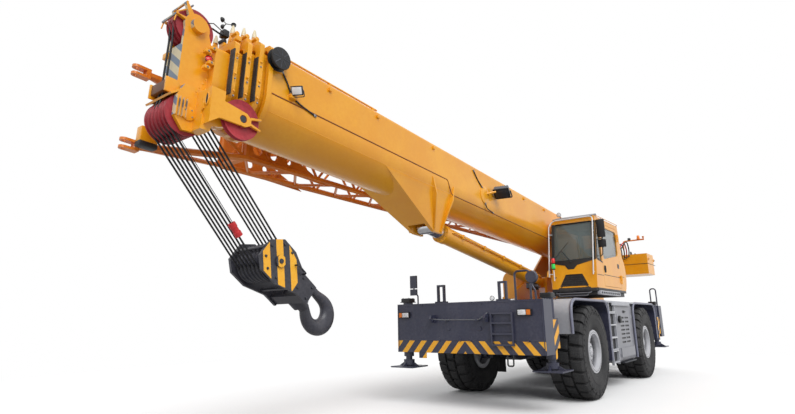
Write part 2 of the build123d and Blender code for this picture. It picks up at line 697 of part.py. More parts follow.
with BuildPart() as cab_front:
    slab(
        [(lean(SILL), SILL), (lean(EAVES), EAVES), (lean(EAVES) - CAB_WALL, EAVES), (lean(SILL) - CAB_WALL, SILL)],
        CAB_INNER_Y,
        CAB_OUTER_Y,
    )
    fillet(cab_front.edges().filter_by(GeomType.LINE).filter_by(Plane.XZ).sort_by(Axis.X)[-2:], 40)
    block((1000, CAB_INNER_Y + 60, BELT), (2000, CAB_OUTER_Y - 60, EAVES - 60), Mode.SUBTRACT)
    face = Plane(origin=(lean(SILL), SEAT_Y, SILL), x_dir=(0, 1, 0), z_dir=(CAB_TOP - CAB_BOTTOM, 0, CAB_LEAN))
    with BuildSketch(face) as grille:
        with BuildLine():
            Polyline((-330, 60), (-190, GRILLE_HEIGHT), (190, GRILLE_HEIGHT), (330, 60), close=True)
        make_face()
    extrude(grille.sketch, amount=-GRILLE_DEPTH, mode=Mode.SUBTRACT)

with BuildPart() as cab_rear:
    with BuildSketch(Plane(origin=(0, CAB_OUTER_Y, 0), x_dir=(1, 0, 0), z_dir=(0, -1, 0))):
        with BuildLine():
            outside = rear_edge(0)
            inside = rear_edge(CAB_WALL)
            Line(outside[0], inside[0])
            Line(outside[1], inside[1])
        make_face()
    extrude(amount=CAB_OUTER_Y - CAB_INNER_Y)
    block((CAB_BULGE - 100, CAB_INNER_Y + 120, REAR_SILL), (0, CAB_OUTER_Y - 120, EAVES - 100), Mode.SUBTRACT)


def cab_side(low, high):
    """Side wall between the front and rear panels."""
    with BuildSketch(Plane(origin=(0, high, 0), x_dir=(1, 0, 0), z_dir=(0, -1, 0))) as wall:
        with BuildLine():
            top, foot = rear_edge(CAB_WALL)
            Polyline(foot, (lean(SILL) - CAB_WALL, SILL), (lean(EAVES) - CAB_WALL, EAVES), top)
        make_face()
    extrude(wall.sketch, amount=high - low)


with BuildPart() as cab_inner_wall:
    cab_side(CAB_INNER_Y, CAB_INNER_Y + CAB_WALL)
    block((-250, CAB_INNER_Y - 10, 3000), (1300, CAB_INNER_Y + 100, EAVES - 100), Mode.SUBTRACT)

DOOR_SILL = SILL + 60
DOOR_HEAD = EAVES - 60
with BuildPart() as cab_outer_frame:
    cab_side(CAB_OUTER_Y - CAB_WALL, CAB_OUTER_Y)
    block((DOOR_REAR, CAB_OUTER_Y - 100, DOOR_SILL), (DOOR_FRONT, CAB_OUTER_Y + 10, DOOR_HEAD), Mode.SUBTRACT)
    slab(
        [
            (DOOR_FRONT + 60, BELT),
            (lean(BELT) - CAB_WALL - 60, BELT),
            (lean(DOOR_HEAD) - CAB_WALL - 60, DOOR_HEAD),
            (DOOR_FRONT + 60, DOOR_HEAD),
        ],
        CAB_OUTER_Y - 100,
        CAB_OUTER_Y + 10,
        Mode.SUBTRACT,
    )

with BuildPart() as cab_roof:
    block((CAB_EAVES_REAR, CAB_INNER_Y, EAVES), (lean(EAVES), CAB_OUTER_Y, CAB_TOP))
    fillet(cab_roof.edges().group_by(Axis.Z)[-1], 40)

DOOR_WINDOW = [
    (DOOR_REAR + 80, BELT + 240),
    (DOOR_FRONT - 80, BELT + 50),
    (DOOR_FRONT - 80, DOOR_HEAD - 80),
    (DOOR_REAR + 80, DOOR_HEAD - 80),
]
with BuildPart() as cab_door:
    block(
        (DOOR_REAR + DOOR_GAP, CAB_OUTER_Y - CAB_WALL, DOOR_SILL + DOOR_GAP),
        (DOOR_FRONT - DOOR_GAP, CAB_OUTER_Y, DOOR_HEAD - DOOR_GAP),
    )
    slab(DOOR_WINDOW, CAB_OUTER_Y - 100, CAB_OUTER_Y + 10, Mode.SUBTRACT, WINDOW_BEND)
    for z in (DOOR_SILL + 200, DOOR_HEAD - 250):
        bar((DOOR_REAR - 4, CAB_OUTER_Y + 22, z), (DOOR_REAR - 4, CAB_OUTER_Y + 22, z + 120), 16)
        block((DOOR_REAR - 4, CAB_OUTER_Y, z), (DOOR_REAR + 60, CAB_OUTER_Y + 22, z + 120))

with BuildPart() as door_glass:
    middle = CAB_OUTER_Y - CAB_WALL / 2
    slab(DOOR_WINDOW, middle - GLASS / 2, middle + GLASS / 2, corner=WINDOW_BEND)

with BuildPart() as cab_glass:
    drop = CAB_WALL / 2
    top, low = EAVES - 60, BELT
    slab(
        [
            (lean(low) - drop, low),
            (lean(top) - drop, top),
            (lean(top) - drop - GLASS, top),
            (lean(low) - drop - GLASS, low),
        ],
        CAB_INNER_Y + 60,
        CAB_OUTER_Y - 60,
    )
    middle = CAB_INNER_Y + CAB_WALL / 2
    block((-250, middle - GLASS / 2, 3000), (1300, middle + GLASS / 2, EAVES - 100))
    middle = CAB_WALL / 2
    slab(
        [
            (rear_x(REAR_SILL) + middle, REAR_SILL),
            (rear_x(EAVES - 100) + middle, EAVES - 100),
            (rear_x(EAVES - 100) + middle + GLASS, EAVES - 100),
            (rear_x(REAR_SILL) + middle + GLASS, REAR_SILL),
        ],
        CAB_INNER_Y + 120,
        CAB_OUTER_Y - 120,
    )
    middle = CAB_OUTER_Y - CAB_WALL / 2
    slab(
        [
            (DOOR_FRONT + 60, BELT),
            (lean(BELT) - CAB_WALL - 60, BELT),
            (lean(DOOR_HEAD) - CAB_WALL - 60, DOOR_HEAD),
            (DOOR_FRONT + 60, DOOR_HEAD),
        ],
        middle - GLASS / 2,
        middle + GLASS / 2,
    )

with BuildPart() as operator_seat:
    block((SEAT_X - 170, SEAT_Y - 150, SILL), (SEAT_X + 170, SEAT_Y + 150, SILL + 330))
    block((SEAT_X - 260, SEAT_Y - 250, SILL + 330), (SEAT_X + 260, SEAT_Y + 250, SILL + 470))
    slab(
        [
            (SEAT_X - 260, SILL + 470),
            (SEAT_X - 120, SILL + 470),
            (SEAT_X - 260, SILL + 1080),
            (SEAT_X - 380, SILL + 1080),
        ],
        SEAT_Y - 240,
        SEAT_Y + 240,
    )

with BuildPart() as control_console:
    slab(
        [(1250, SILL), (1500, SILL), (1440, SILL + 620), (1230, SILL + 560)],
        CAB_INNER_Y + 200,
        CAB_OUTER_Y - 200,
    )
    for y in (SEAT_Y - 330, SEAT_Y + 270):
        block((SEAT_X - 150, y, SILL), (SEAT_X + 350, y + 60, SILL + 600))

# Boom
with BuildPart() as boom_base:
    extrude(boom_section(BOOM_HALF, BOOM_TOP, BOOM_BOTTOM, BOOM_REAR), amount=BOOM_FRONT - BOOM_REAR)
    extrude(
        boom_section(BOOM_HALF + 40, BOOM_TOP + 40, BOOM_BOTTOM - 40, BOOM_FRONT - COLLAR),
        amount=COLLAR,
    )
    with BuildSketch(Plane.XY.offset(BRACKET_TOP)):
        with Locations(((BRACKET_REAR + BRACKET_FRONT) / 2, 0)):
            Rectangle(BRACKET_FRONT - BRACKET_REAR, 2 * BOOM_HALF)
    with BuildSketch(Plane.XY.offset(LIFT_PIN_W - BRACKET_LIP)):
        with Locations((LIFT_PIN_U, 0)):
            Rectangle(2 * BRACKET_LIP, 2 * (BRACKET_INNER + BRACKET_PLATE))
    loft(ruled=True)
    slab(
        [
            (LIFT_PIN_U + EYE_ROOM, LIFT_PIN_W - BRACKET_LIP - 10),
            (LIFT_PIN_U + EYE_ROOM, BOOM_BOTTOM),
            (BRACKET_REAR - 100, BOOM_BOTTOM),
            (BRACKET_REAR - 100, LIFT_PIN_W - BRACKET_LIP - 10),
        ],
        -BRACKET_INNER,
        BRACKET_INNER,
        Mode.SUBTRACT,
    )
    bore = [size - BOOM_WALL for size in (BOOM_HALF, BOOM_TOP, -BOOM_BOTTOM)]
    extrude(
        boom_section(bore[0], bore[1], -bore[2], BOOM_REAR),
        amount=BOOM_FRONT - BOOM_REAR,
        mode=Mode.SUBTRACT,
    )
    bar((0, -CHEEK_INNER + 4, 0), (0, CHEEK_INNER - 4, 0), PIN_RADIUS + 80)
    bar((0, -CHEEK_INNER, 0), (0, CHEEK_INNER, 0), PIN_RADIUS + RUN_GAP, Mode.SUBTRACT)


def slide_pads(half, rear):
    """Wear pads at a section's rear end that run inside the next larger section."""
    outer = half + NEST_STEP - BOOM_WALL - RUN_GAP
    for low, high in ((-outer, -half), (half, outer)):
        block((rear + 50, low, 60), (rear + 250, high, 260))


def middle_section(index):
    """One telescopic section with its collar."""
    half, top = BOOM_HALF - NEST_STEP * index, BOOM_TOP - NEST_STEP * index
    bottom = BOOM_BOTTOM + NEST_STEP * index
    front = BOOM_FRONT + COLLAR_STEP * index
    rear = 300 + 60 * index
    with BuildPart() as piece:
        extrude(boom_section(half, top, bottom, rear), amount=front - rear)
        extrude(boom_section(half + 70, top + 70, bottom - 70, front - COLLAR), amount=COLLAR)
        slide_pads(half, rear)
        for y in (-half * 0.6, half * 0.6):
            block((front - 2 * COLLAR, y - 45, top), (front - COLLAR, y + 45, top + 60))
        extrude(
            boom_section(half - BOOM_WALL, top - BOOM_WALL, bottom + BOOM_WALL, rear),
            amount=front - rear,
            mode=Mode.SUBTRACT,
        )
    return piece.part


# Boom head: the last section, with tall plates for the upper sheaves and wide cheeks for the lower ones
with BuildPart() as boom_head:
    half, top, bottom = BOOM_HALF - 4 * NEST_STEP, BOOM_TOP - 4 * NEST_STEP, BOOM_BOTTOM + 4 * NEST_STEP
    extrude(boom_section(half, top, bottom, HEAD_TAIL), amount=HEAD_REAR - HEAD_TAIL)
    slide_pads(half, HEAD_TAIL)
    extrude(
        boom_section(half - BOOM_WALL, top - BOOM_WALL, bottom + BOOM_WALL, HEAD_TAIL),
        amount=HEAD_REAR - HEAD_PLATE - HEAD_TAIL,
        mode=Mode.SUBTRACT,
    )
    upper_u, upper_w = UPPER_SHEAVE
    lower_u, lower_w = LOWER_SHEAVE
    tall = [
        (HEAD_REAR - 10, bottom),
        (HEAD_FRONT, lower_w + SHEAVE_RADIUS + 20),
        (HEAD_FRONT, upper_w - 60),
        (upper_u + 60, upper_w + 120),
        (upper_u - 90, upper_w + 120),
        (HEAD_REAR - 10, top),
    ]
    cheek = [
        (HEAD_REAR - 10, bottom + 60),
        (HEAD_REAR - 10, lower_w + 130),
        (lower_u - 150, lower_w - 170),
        (lower_u + 40, lower_w - 190),
        (lower_u + 150, lower_w - 60),
        (lower_u + 150, lower_w + 160),
        (HEAD_FRONT - 40, bottom + 60),
    ]
    for side in (-1, 1):
        y = sorted((side * UPPER_HALF, side * (UPPER_HALF + HEAD_PLATE)))
        slab(tall, y[0], y[1], corner=35)
        bar((upper_u, y[0], upper_w), (upper_u, y[1], upper_w), 150)
        boss = sorted((side * UPPER_HALF, side * (UPPER_HALF + HEAD_PLATE + 60)))
        bar((upper_u, boss[0], upper_w), (upper_u, boss[1], upper_w), 85)
        for tip_u, tip_w in ((upper_u + 150, upper_w + 225), (upper_u + 235, upper_w + 45)):
            slab([(upper_u, upper_w + 60), (tip_u - 18, tip_w), (tip_u + 18, tip_w), (upper_u + 80, upper_w)], y[0], y[1])
        y = sorted((side * LOWER_HALF, side * (LOWER_HALF + HEAD_PLATE)))
        slab(cheek, y[0], y[1])
        for rib in range(4):
            u = lower_u + 25 + 38 * rib
            rib_y = sorted((side * LOWER_HALF, side * (LOWER_HALF + HEAD_PLATE + 35)))
            block((u, rib_y[0], lower_w - 60), (u + 12, rib_y[1], lower_w + 150))
        shelf = sorted((side * UPPER_HALF, side * (LOWER_HALF + HEAD_PLATE)))
        block((HEAD_REAR - 10, shelf[0], bottom), (HEAD_FRONT - 40, shelf[1], bottom + 60))
    for tip_u, tip_w in ((upper_u + 150, upper_w + 235), (upper_u + 245, upper_w + 45)):
        bar((tip_u, -UPPER_HALF - HEAD_PLATE, tip_w), (tip_u, UPPER_HALF + HEAD_PLATE, tip_w), 14)
    block((HEAD_FRONT - 20, -UPPER_HALF - 10, lower_w + SHEAVE_RADIUS + 30), (HEAD_FRONT, UPPER_HALF + 10, upper_w - 260))
    slab(
        [
            (HEAD_FRONT - 30, bottom + 10),
            (lower_u + 215, lower_w + 165),
            (lower_u + 200, lower_w + 150),
            (HEAD_FRONT - 50, bottom - 5),
        ],
        -LOWER_HALF - HEAD_PLATE,
        LOWER_HALF + HEAD_PLATE,
    )
    side_u, side_w = SIDE_SHEAVE
    low, high = LOWER_HALF, SIDE_SHEAVE_Y - SIDE_SHEAVE_HALF - SEAT_GAP
    box = [
        (lower_u - 80, bottom + 20),
        (HEAD_REAR - 10, bottom + 20),
        (HEAD_REAR - 10, side_w + 40),
        (lower_u - 170, lower_w - 175),
        (lower_u - 60, lower_w - 175),
    ]
    slab(box, low, high)
    for u, w in ((HEAD_REAR + 50, bottom - 60), (HEAD_REAR + 90, lower_w + 130), (HEAD_REAR + 130, lower_w)):
        with BuildSketch(Plane(origin=(u, high, w), x_dir=(0.5, 0, 1), z_dir=(0, 1, 0))) as slot:
            SlotOverall(110, 50)
        extrude(slot.sketch, amount=-40, mode=Mode.SUBTRACT)
    arm = [(HEAD_REAR + 60, side_w + 60), (side_u - 60, side_w + 60), (side_u - 60, side_w - 60), (HEAD_REAR + 60, lower_w - 120)]
    slab(arm, high - 40, high)
    outer = 2 * SIDE_SHEAVE_Y - high
    clear = side_u + SHEAVE_RADIUS + 20
    slab([(lower_u - 80, bottom + 20), (clear, bottom + 20), (clear, side_w - 60), (lower_u - 90, lower_w - 120)], low, outer + 30)
    arm = [
        (clear + 60, side_w + 120),
        (side_u - 40, side_w + 75),
        (side_u - 100, side_w + 25),
        (side_u - 100, side_w - 45),
        (side_u - 40, side_w - 80),
        (clear + 60, side_w - 90),
    ]
    slab(arm, outer, outer + 30)
    for rise in (-30, 35):
        slab(
            [
                (side_u - 90, side_w + rise - 14),
                (side_u - 90, side_w + rise + 14),
                (side_u - 230, side_w + 2 * rise + 10),
                (side_u - 230, side_w + 2 * rise - 10),
            ],
            outer,
            outer + 30,
        )
    bar((side_u, outer - 10, side_w), (side_u, outer + 40, side_w), 45 + RUN_GAP, Mode.SUBTRACT)

# Sheaves, turned in rows, with their axles
with BuildPart() as head_sheaves:
    for (u, w), count, half in ((LOWER_SHEAVE, LOWER_COUNT, LOWER_HALF), (UPPER_SHEAVE, UPPER_COUNT, UPPER_HALF)):
        bar((u, -half, w), (u, half, w), 60)
        sheave_row((u, 0, w), count)
    u, w = SIDE_SHEAVE
    half = SIDE_SHEAVE_HALF
    turned(
        [
            (-half, 0),
            (-half, 70),
            (-half + 12, 80),
            (-half + 12, SHEAVE_RADIUS - GROOVE - 20),
            (-half, SHEAVE_RADIUS),
            (-half + 8, SHEAVE_RADIUS),
            (-8, SHEAVE_RADIUS - GROOVE),
            (8, SHEAVE_RADIUS - GROOVE),
            (half - 8, SHEAVE_RADIUS),
            (half, SHEAVE_RADIUS),
            (half - 12, SHEAVE_RADIUS - GROOVE - 20),
            (half - 12, 80),
            (half, 70),
            (half, 0),
        ],
        (u, SIDE_SHEAVE_Y, w),
    )
    bar((u, SIDE_SHEAVE_Y - half - SEAT_GAP, w), (u, SIDE_SHEAVE_Y + half + SEAT_GAP + 20, w), 45)

# Lattice jib: fork arms with lugs, a plated root frame and four laced chords that run to the tip
def jib_point(share, level, flank):
    """Point on a chord at a share of the length from the root frame."""
    low = JIB_ROOT_LOW + share * (JIB_TIP_LOW - JIB_ROOT_LOW)
    high = JIB_ROOT_HIGH + share * (JIB_TIP_HIGH - JIB_ROOT_HIGH)
    far = JIB_ROOT_FAR + share * (JIB_TIP_FAR - JIB_ROOT_FAR)
    return (
        JIB_ROOT_U + share * (JIB_TIP_U - JIB_ROOT_U),
        JIB_NEAR if flank == "near" else far,
        low if level == "low" else high,
    )


chords = [("low", "near"), ("low", "far"), ("high", "far"), ("high", "near")]
struts = [strut(jib_point(0, *chord), jib_point(1, *chord), JIB_CHORD) for chord in chords]
for bay in range(JIB_BAYS + 1):
    here, there = bay / JIB_BAYS, min(bay + 1, JIB_BAYS) / JIB_BAYS
    for start, end in zip(chords, chords[1:] + chords[:1]):
        if bay in (0, JIB_BAYS):
            struts.append(strut(jib_point(here, *start), jib_point(here, *end), JIB_CHORD))
        if bay < JIB_BAYS:
            middle = (here + there) / 2
            struts.append(strut(jib_point(here, *start), jib_point(middle, *end), JIB_LACE))
            struts.append(strut(jib_point(middle, *end), jib_point(there, *start), JIB_LACE))
arms = {"low": JIB_LUG_LOW, "high": JIB_LUG_HIGH}
for level, lug_w in arms.items():
    knee = (JIB_LUG_U - 2 * JIB_LUG_RADIUS, JIB_NEAR, lug_w)
    struts.append(strut(jib_point(0, level, "near"), knee, JIB_CHORD))
    struts.append(strut(jib_point(0, level, "far"), knee, JIB_LACE + 10))
struts.append(strut(jib_point(0, "low", "near"), (JIB_LUG_U - 500, JIB_NEAR, JIB_LUG_HIGH), JIB_LACE))

with BuildPart() as lattice_jib:
    add(struts)
    for lug_w in arms.values():
        for low in (-LUG_HALF, LUG_HALF - LUG_PLATE):
            with BuildSketch(Plane.XY.offset(lug_w + low)) as lug:
                with Locations((JIB_LUG_U, JIB_NEAR)):
                    Circle(JIB_LUG_RADIUS)
                with Locations((JIB_LUG_U - 1.5 * JIB_LUG_RADIUS, JIB_NEAR)):
                    Rectangle(3 * JIB_LUG_RADIUS, 2 * JIB_LUG_RADIUS)
                with Locations((JIB_LUG_U, JIB_NEAR)):
                    Circle(22, mode=Mode.SUBTRACT)
            extrude(lug.sketch, amount=LUG_PLATE)
        block(
            (JIB_LUG_U - 3 * JIB_LUG_RADIUS, JIB_NEAR - JIB_LUG_RADIUS, lug_w - LUG_HALF),
            (JIB_LUG_U - 2 * JIB_LUG_RADIUS, JIB_NEAR + JIB_LUG_RADIUS, lug_w + LUG_HALF),
        )
    for level in arms:
        for flank, length in (("near", 1500), ("far", 1500)):
            u, y, w = jib_point(0, level, flank)
            way = 1 if level == "low" else -1
            web = [(u + 60, w), (u + 60, w + way * 330), (u - length + 900, w + way * 330), (u - length, w)]
            slab(web, y - 10, y + 10)
            for step in range(3):
                hole = u - 180 - 280 * step
                bar((hole, y - 20, w + way * 160), (hole, y + 20, w + way * 160), 75 - 15 * step, Mode.SUBTRACT)
    for bay in JIB_BRACKETS:
        u, y, w = jib_point(bay / JIB_BAYS, "high", "near")
        block((u - 60, y, w - 40), (u + 60, -BOOM_HALF, w + 40))

# Lift cylinder, drawn along X from its foot pin
LIFT = Vector(*spot(LIFT_PIN_U, LIFT_PIN_W)) - Vector(FOOT_X, 0, FOOT_Z)
LIFT_LENGTH = LIFT.length
LIFT_POSE = Plane(origin=(FOOT_X, 0, FOOT_Z), x_dir=LIFT, z_dir=LIFT.cross(Vector(0, 1, 0))).location
with BuildPart() as lift_barrel:
    bar((0, -140, 0), (0, 140, 0), 130)
    bar((80, 0, 0), (360, 0, 0), 120)
    bar((330, 0, 0), (LIFT_LENGTH - 480, 0, 0), LIFT_BARREL)
    bar((LIFT_LENGTH - 560, 0, 0), (LIFT_LENGTH - 420, 0, 0), LIFT_BARREL + 14)
    bar((0, -150, 0), (0, 150, 0), 60 + RUN_GAP, Mode.SUBTRACT)
    bar((420, 0, 0), (LIFT_LENGTH - 400, 0, 0), LIFT_ROD + RUN_GAP, Mode.SUBTRACT)

with BuildPart() as lift_rod:
    bar((700, 0, 0), (LIFT_LENGTH - 60, 0, 0), LIFT_ROD)
    bar((LIFT_LENGTH, -140, 0), (LIFT_LENGTH, 140, 0), 125)
    bar((LIFT_LENGTH, -150, 0), (LIFT_LENGTH, 150, 0), 62, Mode.SUBTRACT)

# Rope falls, drawn hanging straight down from the lower head sheaves
with BuildPart() as rope_falls:
    reach = SHEAVE_RADIUS - GROOVE + ROPE_RADIUS + RUN_GAP
    for index in range(LOWER_COUNT):
        y = (index - (LOWER_COUNT - 1) / 2) * SHEAVE_PITCH
        for x in (-reach, reach):
            bar((x, y, -FALL), (x, y, 0), ROPE_RADIUS)

# Hook block, drawn around the axis of its sheaves, with cross bars that keep the rope in
with BuildPart() as hook_block:
    sheave_row((0, 0, 0), LOWER_COUNT)
    bar((0, -BLOCK_HALF, 0), (0, BLOCK_HALF, 0), 60)
    foot = 60 - SHANK_DROP
    cheek = [
        (-110, 255),
        (130, 255),
        (235, 130),
        (235, -110),
        (120, -420),
        (120, foot),
        (-140, foot),
        (-140, -380),
        (-250, -110),
        (-250, 110),
    ]
    for side in (-1, 1):
        y = sorted((side * BLOCK_HALF, side * (BLOCK_HALF + BLOCK_PLATE)))
        slab(cheek, y[0], y[1])
        bar((0, side * BLOCK_HALF, 0), (0, side * (BLOCK_HALF + BLOCK_PLATE + 25), 0), 70)
    for x, z in GUARD_BARS:
        bar((x, -BLOCK_HALF, z), (x, BLOCK_HALF, z), 18)
    block((-110, -BLOCK_HALF, foot), (100, BLOCK_HALF, foot + 140))
    bar((0, 0, -SHANK_DROP), (0, 0, foot + 140), SHANK_RADIUS + RUN_GAP, Mode.SUBTRACT)

# Hook: shank with collar, and one loft through the bowl, deepest at its lowest point, to the tip
with BuildPart() as hook:
    with BuildSketch(Plane(origin=(0, 0, -SHANK_DROP - 140), z_dir=(0, 0, -1))):
        Circle(SHANK_RADIUS)
    for turn, size in HOOK_BODY:
        arm = Vector(cos(radians(turn)), 0, sin(radians(turn)))
        centre = Vector(THROAT_X, 0, -THROAT_DROP) + arm * (THROAT_RADIUS + size)
        with BuildSketch(Plane(origin=centre, x_dir=arm, z_dir=Vector(0, 1, 0).cross(arm))):
            Ellipse(size, min(size, HOOK_FLAT))
    for x, rise, size in TIP:
        with BuildSketch(Plane(origin=(x, 0, rise - THROAT_DROP), x_dir=(-1, 0, 0), z_dir=(0, 0, 1))):
            Ellipse(size, size)
    loft()
    bar((0, 0, -SHANK_DROP - 150), (0, 0, 180 - SHANK_DROP), SHANK_RADIUS)
    bar((0, 0, -SHANK_DROP - 60), (0, 0, 60 - SHANK_DROP - RUN_GAP), 105)

os.makedirs("parts", exist_ok=True)
nodes = {
    "carrier_frame": carrier_frame.part,
    "outrigger_boxes": outrigger_boxes.part,
    "fender_decks": fender_decks.part,
    "side_tanks": side_tanks.part,
    "access_ladders": access_ladders.part,
    "deck_rails": deck_rails.part,
    "carrier_lamps": carrier_lamps.part,
    "engine_block": engine_block.part,
    "engine_hood": engine_hood.part,
    "axles": axles.part,
    "tie_eyes": tie_eyes.part,
    "turntable_frame": turntable_frame.part,
    "hydraulic_tank": hydraulic_tank.part,
    "counterweight": counterweight.part,
    "winches": winches.part,
    "cab_floor": cab_floor.part,
    "cab_front": cab_front.part,
    "cab_rear": cab_rear.part,
    "cab_inner_wall": cab_inner_wall.part,
    "cab_outer_frame": cab_outer_frame.part,
    "cab_roof": cab_roof.part,
    "cab_door": cab_door.part,
    "door_glass": door_glass.part,
    "cab_glass": cab_glass.part,
    "operator_seat": operator_seat.part,
    "control_console": control_console.part,
}
for corner, (way, side) in CORNERS.items():
    axle_x = FRONT_AXLE_X if way > 0 else REAR_AXLE_X
    nodes[f"knuckle_{corner}"] = knuckle(axle_x, side)
    nodes[f"outrigger_beam_{corner}"], nodes[f"outrigger_jack_{corner}"] = outrigger(way, side)
    wheel = Location((axle_x, side * WHEEL_Y, TYRE_RADIUS)) * Rotation(0, 0, 0 if side > 0 else 180)
    export(tyre.part, f"tyre_{corner}", wheel)
    export(rim.part, f"rim_{corner}", wheel)
for name, part in nodes.items():
    export(part, name)

boom_nodes = {
    "boom_base": boom_base.part,
    "boom_section_2": middle_section(1),
    "boom_section_3": middle_section(2),
    "boom_section_4": middle_section(3),
    "boom_head": boom_head.part,
    "head_sheaves": head_sheaves.part,
    "lattice_jib": lattice_jib.part,
}
for name, part in boom_nodes.items():
    export(part, name, BOOM_POSE)
export(lift_barrel.part, "lift_barrel", LIFT_POSE)
export(lift_rod.part, "lift_rod", LIFT_POSE)
export(rope_falls.part, "rope_falls", FALLS_POSE)
export(hook_block.part, "hook_block", BLOCK_POSE)
export(hook.part, "hook", BLOCK_POSE)
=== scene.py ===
import json
import math

import bmesh
import bpy
from mathutils import Matrix, Vector


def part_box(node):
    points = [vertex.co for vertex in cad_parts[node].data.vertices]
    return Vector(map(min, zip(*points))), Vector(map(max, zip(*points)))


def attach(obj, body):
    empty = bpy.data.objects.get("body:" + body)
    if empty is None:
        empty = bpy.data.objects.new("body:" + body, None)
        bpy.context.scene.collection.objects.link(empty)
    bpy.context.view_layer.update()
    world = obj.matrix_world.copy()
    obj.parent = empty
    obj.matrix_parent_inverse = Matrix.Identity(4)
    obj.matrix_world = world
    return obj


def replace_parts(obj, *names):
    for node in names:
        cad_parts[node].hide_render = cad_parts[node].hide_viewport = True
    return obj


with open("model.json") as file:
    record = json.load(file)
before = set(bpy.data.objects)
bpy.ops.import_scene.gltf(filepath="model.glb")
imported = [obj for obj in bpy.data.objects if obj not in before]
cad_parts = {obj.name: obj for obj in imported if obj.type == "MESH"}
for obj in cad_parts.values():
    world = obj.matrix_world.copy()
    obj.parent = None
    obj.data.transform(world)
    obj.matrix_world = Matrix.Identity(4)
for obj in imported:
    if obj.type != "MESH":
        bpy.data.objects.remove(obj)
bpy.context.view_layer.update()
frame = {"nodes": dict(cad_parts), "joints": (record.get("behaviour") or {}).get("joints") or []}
print("frame loaded:", len(frame["nodes"]), "nodes")

joints = {joint["name"]: joint for joint in frame["joints"]}
corners = ("fl", "fr", "rl", "rr")
bothSides = (-1, 1)
forward, leftward, upward = Vector((1, 0, 0)), Vector((0, 1, 0)), Vector((0, 0, 1))
slewX = joints["slew"]["pos_m"][0]
boomFoot = Vector(joints["luff"]["pos_m"])
boomAlong = Vector(joints["telescope_2"]["axis"])
boomOff = Vector((-boomAlong.z, 0, boomAlong.x))


def spot(x, y, z):
    return Vector((slewX + x, y, z))  # carrier measures, from the slewing axis


def spotOn(side):  # the same on the left (1) or the right (-1)
    return lambda x, y, z: spot(x, side * y, z)


def onBoom(along, y, off):
    return boomFoot + boomAlong * along + boomOff * off + leftward * y


def turned(origin, along, off):  # x along, y to the left, z off
    return Matrix.Translation(origin) @ Matrix((along, leftward, off)).transposed().to_4x4()


def turns(count, first=0.0):  # the angles of a full circle
    return [first + 2 * math.pi * k / count for k in range(count)]


boomTurn = turned(boomFoot, boomAlong, boomOff)

# Camera of the photograph
cameraLook = {"place": (13.472, 4.944, 1.601), "yaw": -142.87, "pitch": 12.60, "roll": -1.00,
              "lens": 23.085, "sensor": 36, "clip": (0.05, 400)}


def placeCamera(look):
    yaw, pitch, roll = (math.radians(look[k]) for k in ("yaw", "pitch", "roll"))
    ahead = Vector((math.cos(yaw) * math.cos(pitch), math.sin(yaw) * math.cos(pitch), math.sin(pitch)))
    right = ahead.cross(upward).normalized()
    up = right.cross(ahead)
    rightTurned = right * math.cos(roll) + up * math.sin(roll)
    upTurned = up * math.cos(roll) - right * math.sin(roll)
    data = bpy.data.cameras.new("photoCamera")
    data.lens, data.sensor_width, data.sensor_fit = look["lens"], look["sensor"], "HORIZONTAL"
    data.clip_start, data.clip_end = look["clip"]
    camera = bpy.data.objects.new("photoCamera", data)
    bpy.context.scene.collection.objects.link(camera)
    turn = Matrix((rightTurned, upTurned, -ahead)).transposed().to_4x4()
    camera.matrix_world = Matrix.Translation(spot(*look["place"])) @ turn
    bpy.context.scene.camera = camera


placeCamera(cameraLook)
bpy.context.scene.view_settings.view_transform = "Standard"


# Shader wiring
class Wire:
    def __init__(self, tree, out=None):
        self.tree, self.out = tree, out

    def node(self, kind, settings=None, sockets=None, output=0):
        made = self.tree.nodes.new("ShaderNode" + kind)
        for name, value in (settings or {}).items():
            setattr(made, name, value)
        for name, value in (sockets or {}).items():
            self.feed(made.inputs[name], value)
        return None if output is None else Wire(self.tree, made.outputs[output])

    def feed(self, socket, value):
        if isinstance(value, Wire):
            self.tree.links.new(value.out, socket)
        else:
            socket.default_value = value

    def maths(self, operation, first, second=0.0):
        return self.node("Math", {"operation": operation}, {0: first, 1: second})

    def __add__(self, other):
        return self.maths("ADD", self, other)

    def __radd__(self, other):
        return self.maths("ADD", other, self)

    def __sub__(self, other):
        return self.maths("SUBTRACT", self, other)

    def __rsub__(self, other):
        return self.maths("SUBTRACT", other, self)

    def __mul__(self, other):
        return self.maths("MULTIPLY", self, other)

    def __rmul__(self, other):
        return self.maths("MULTIPLY", other, self)

    def __truediv__(self, other):
        return self.maths("DIVIDE", self, other)

    def __rtruediv__(self, other):
        return self.maths("DIVIDE", other, self)

    def __gt__(self, other):
        return self.maths("GREATER_THAN", self, other)

    def __lt__(self, other):
        return self.maths("LESS_THAN", self, other)

    def __or__(self, other):
        return self.maths("MAXIMUM", self, other)

    def clamp(self):
        return self.node("Clamp", None, {"Value": self})

    def fraction(self):
        return self.maths("FRACT", self)

    def band(self, low, high):
        return self.node("MapRange", {"interpolation_type": "SMOOTHSTEP"},
                         {"Value": self, "From Min": low, "From Max": high})

    def mix(self, first, second):  # this value blends two colours
        return self.node("Mix", {"data_type": "RGBA"}, {0: self, 6: first, 7: second}, 2)

    def parts(self):
        split = self.node("SeparateXYZ", None, {0: self})
        return [Wire(self.tree, out) for out in split.out.node.outputs]


def rgb(red, green, blue):  # a colour as a screen shows it, 0 to 255
    def linear(c):
        c /= 255
        return c / 12.92 if c <= 0.04045 else ((c + 0.055) / 1.055) ** 2.4
    return (linear(red), linear(green), linear(blue), 1)


def darker(colour, share):
    return [c * share for c in colour[:3]] + [1]


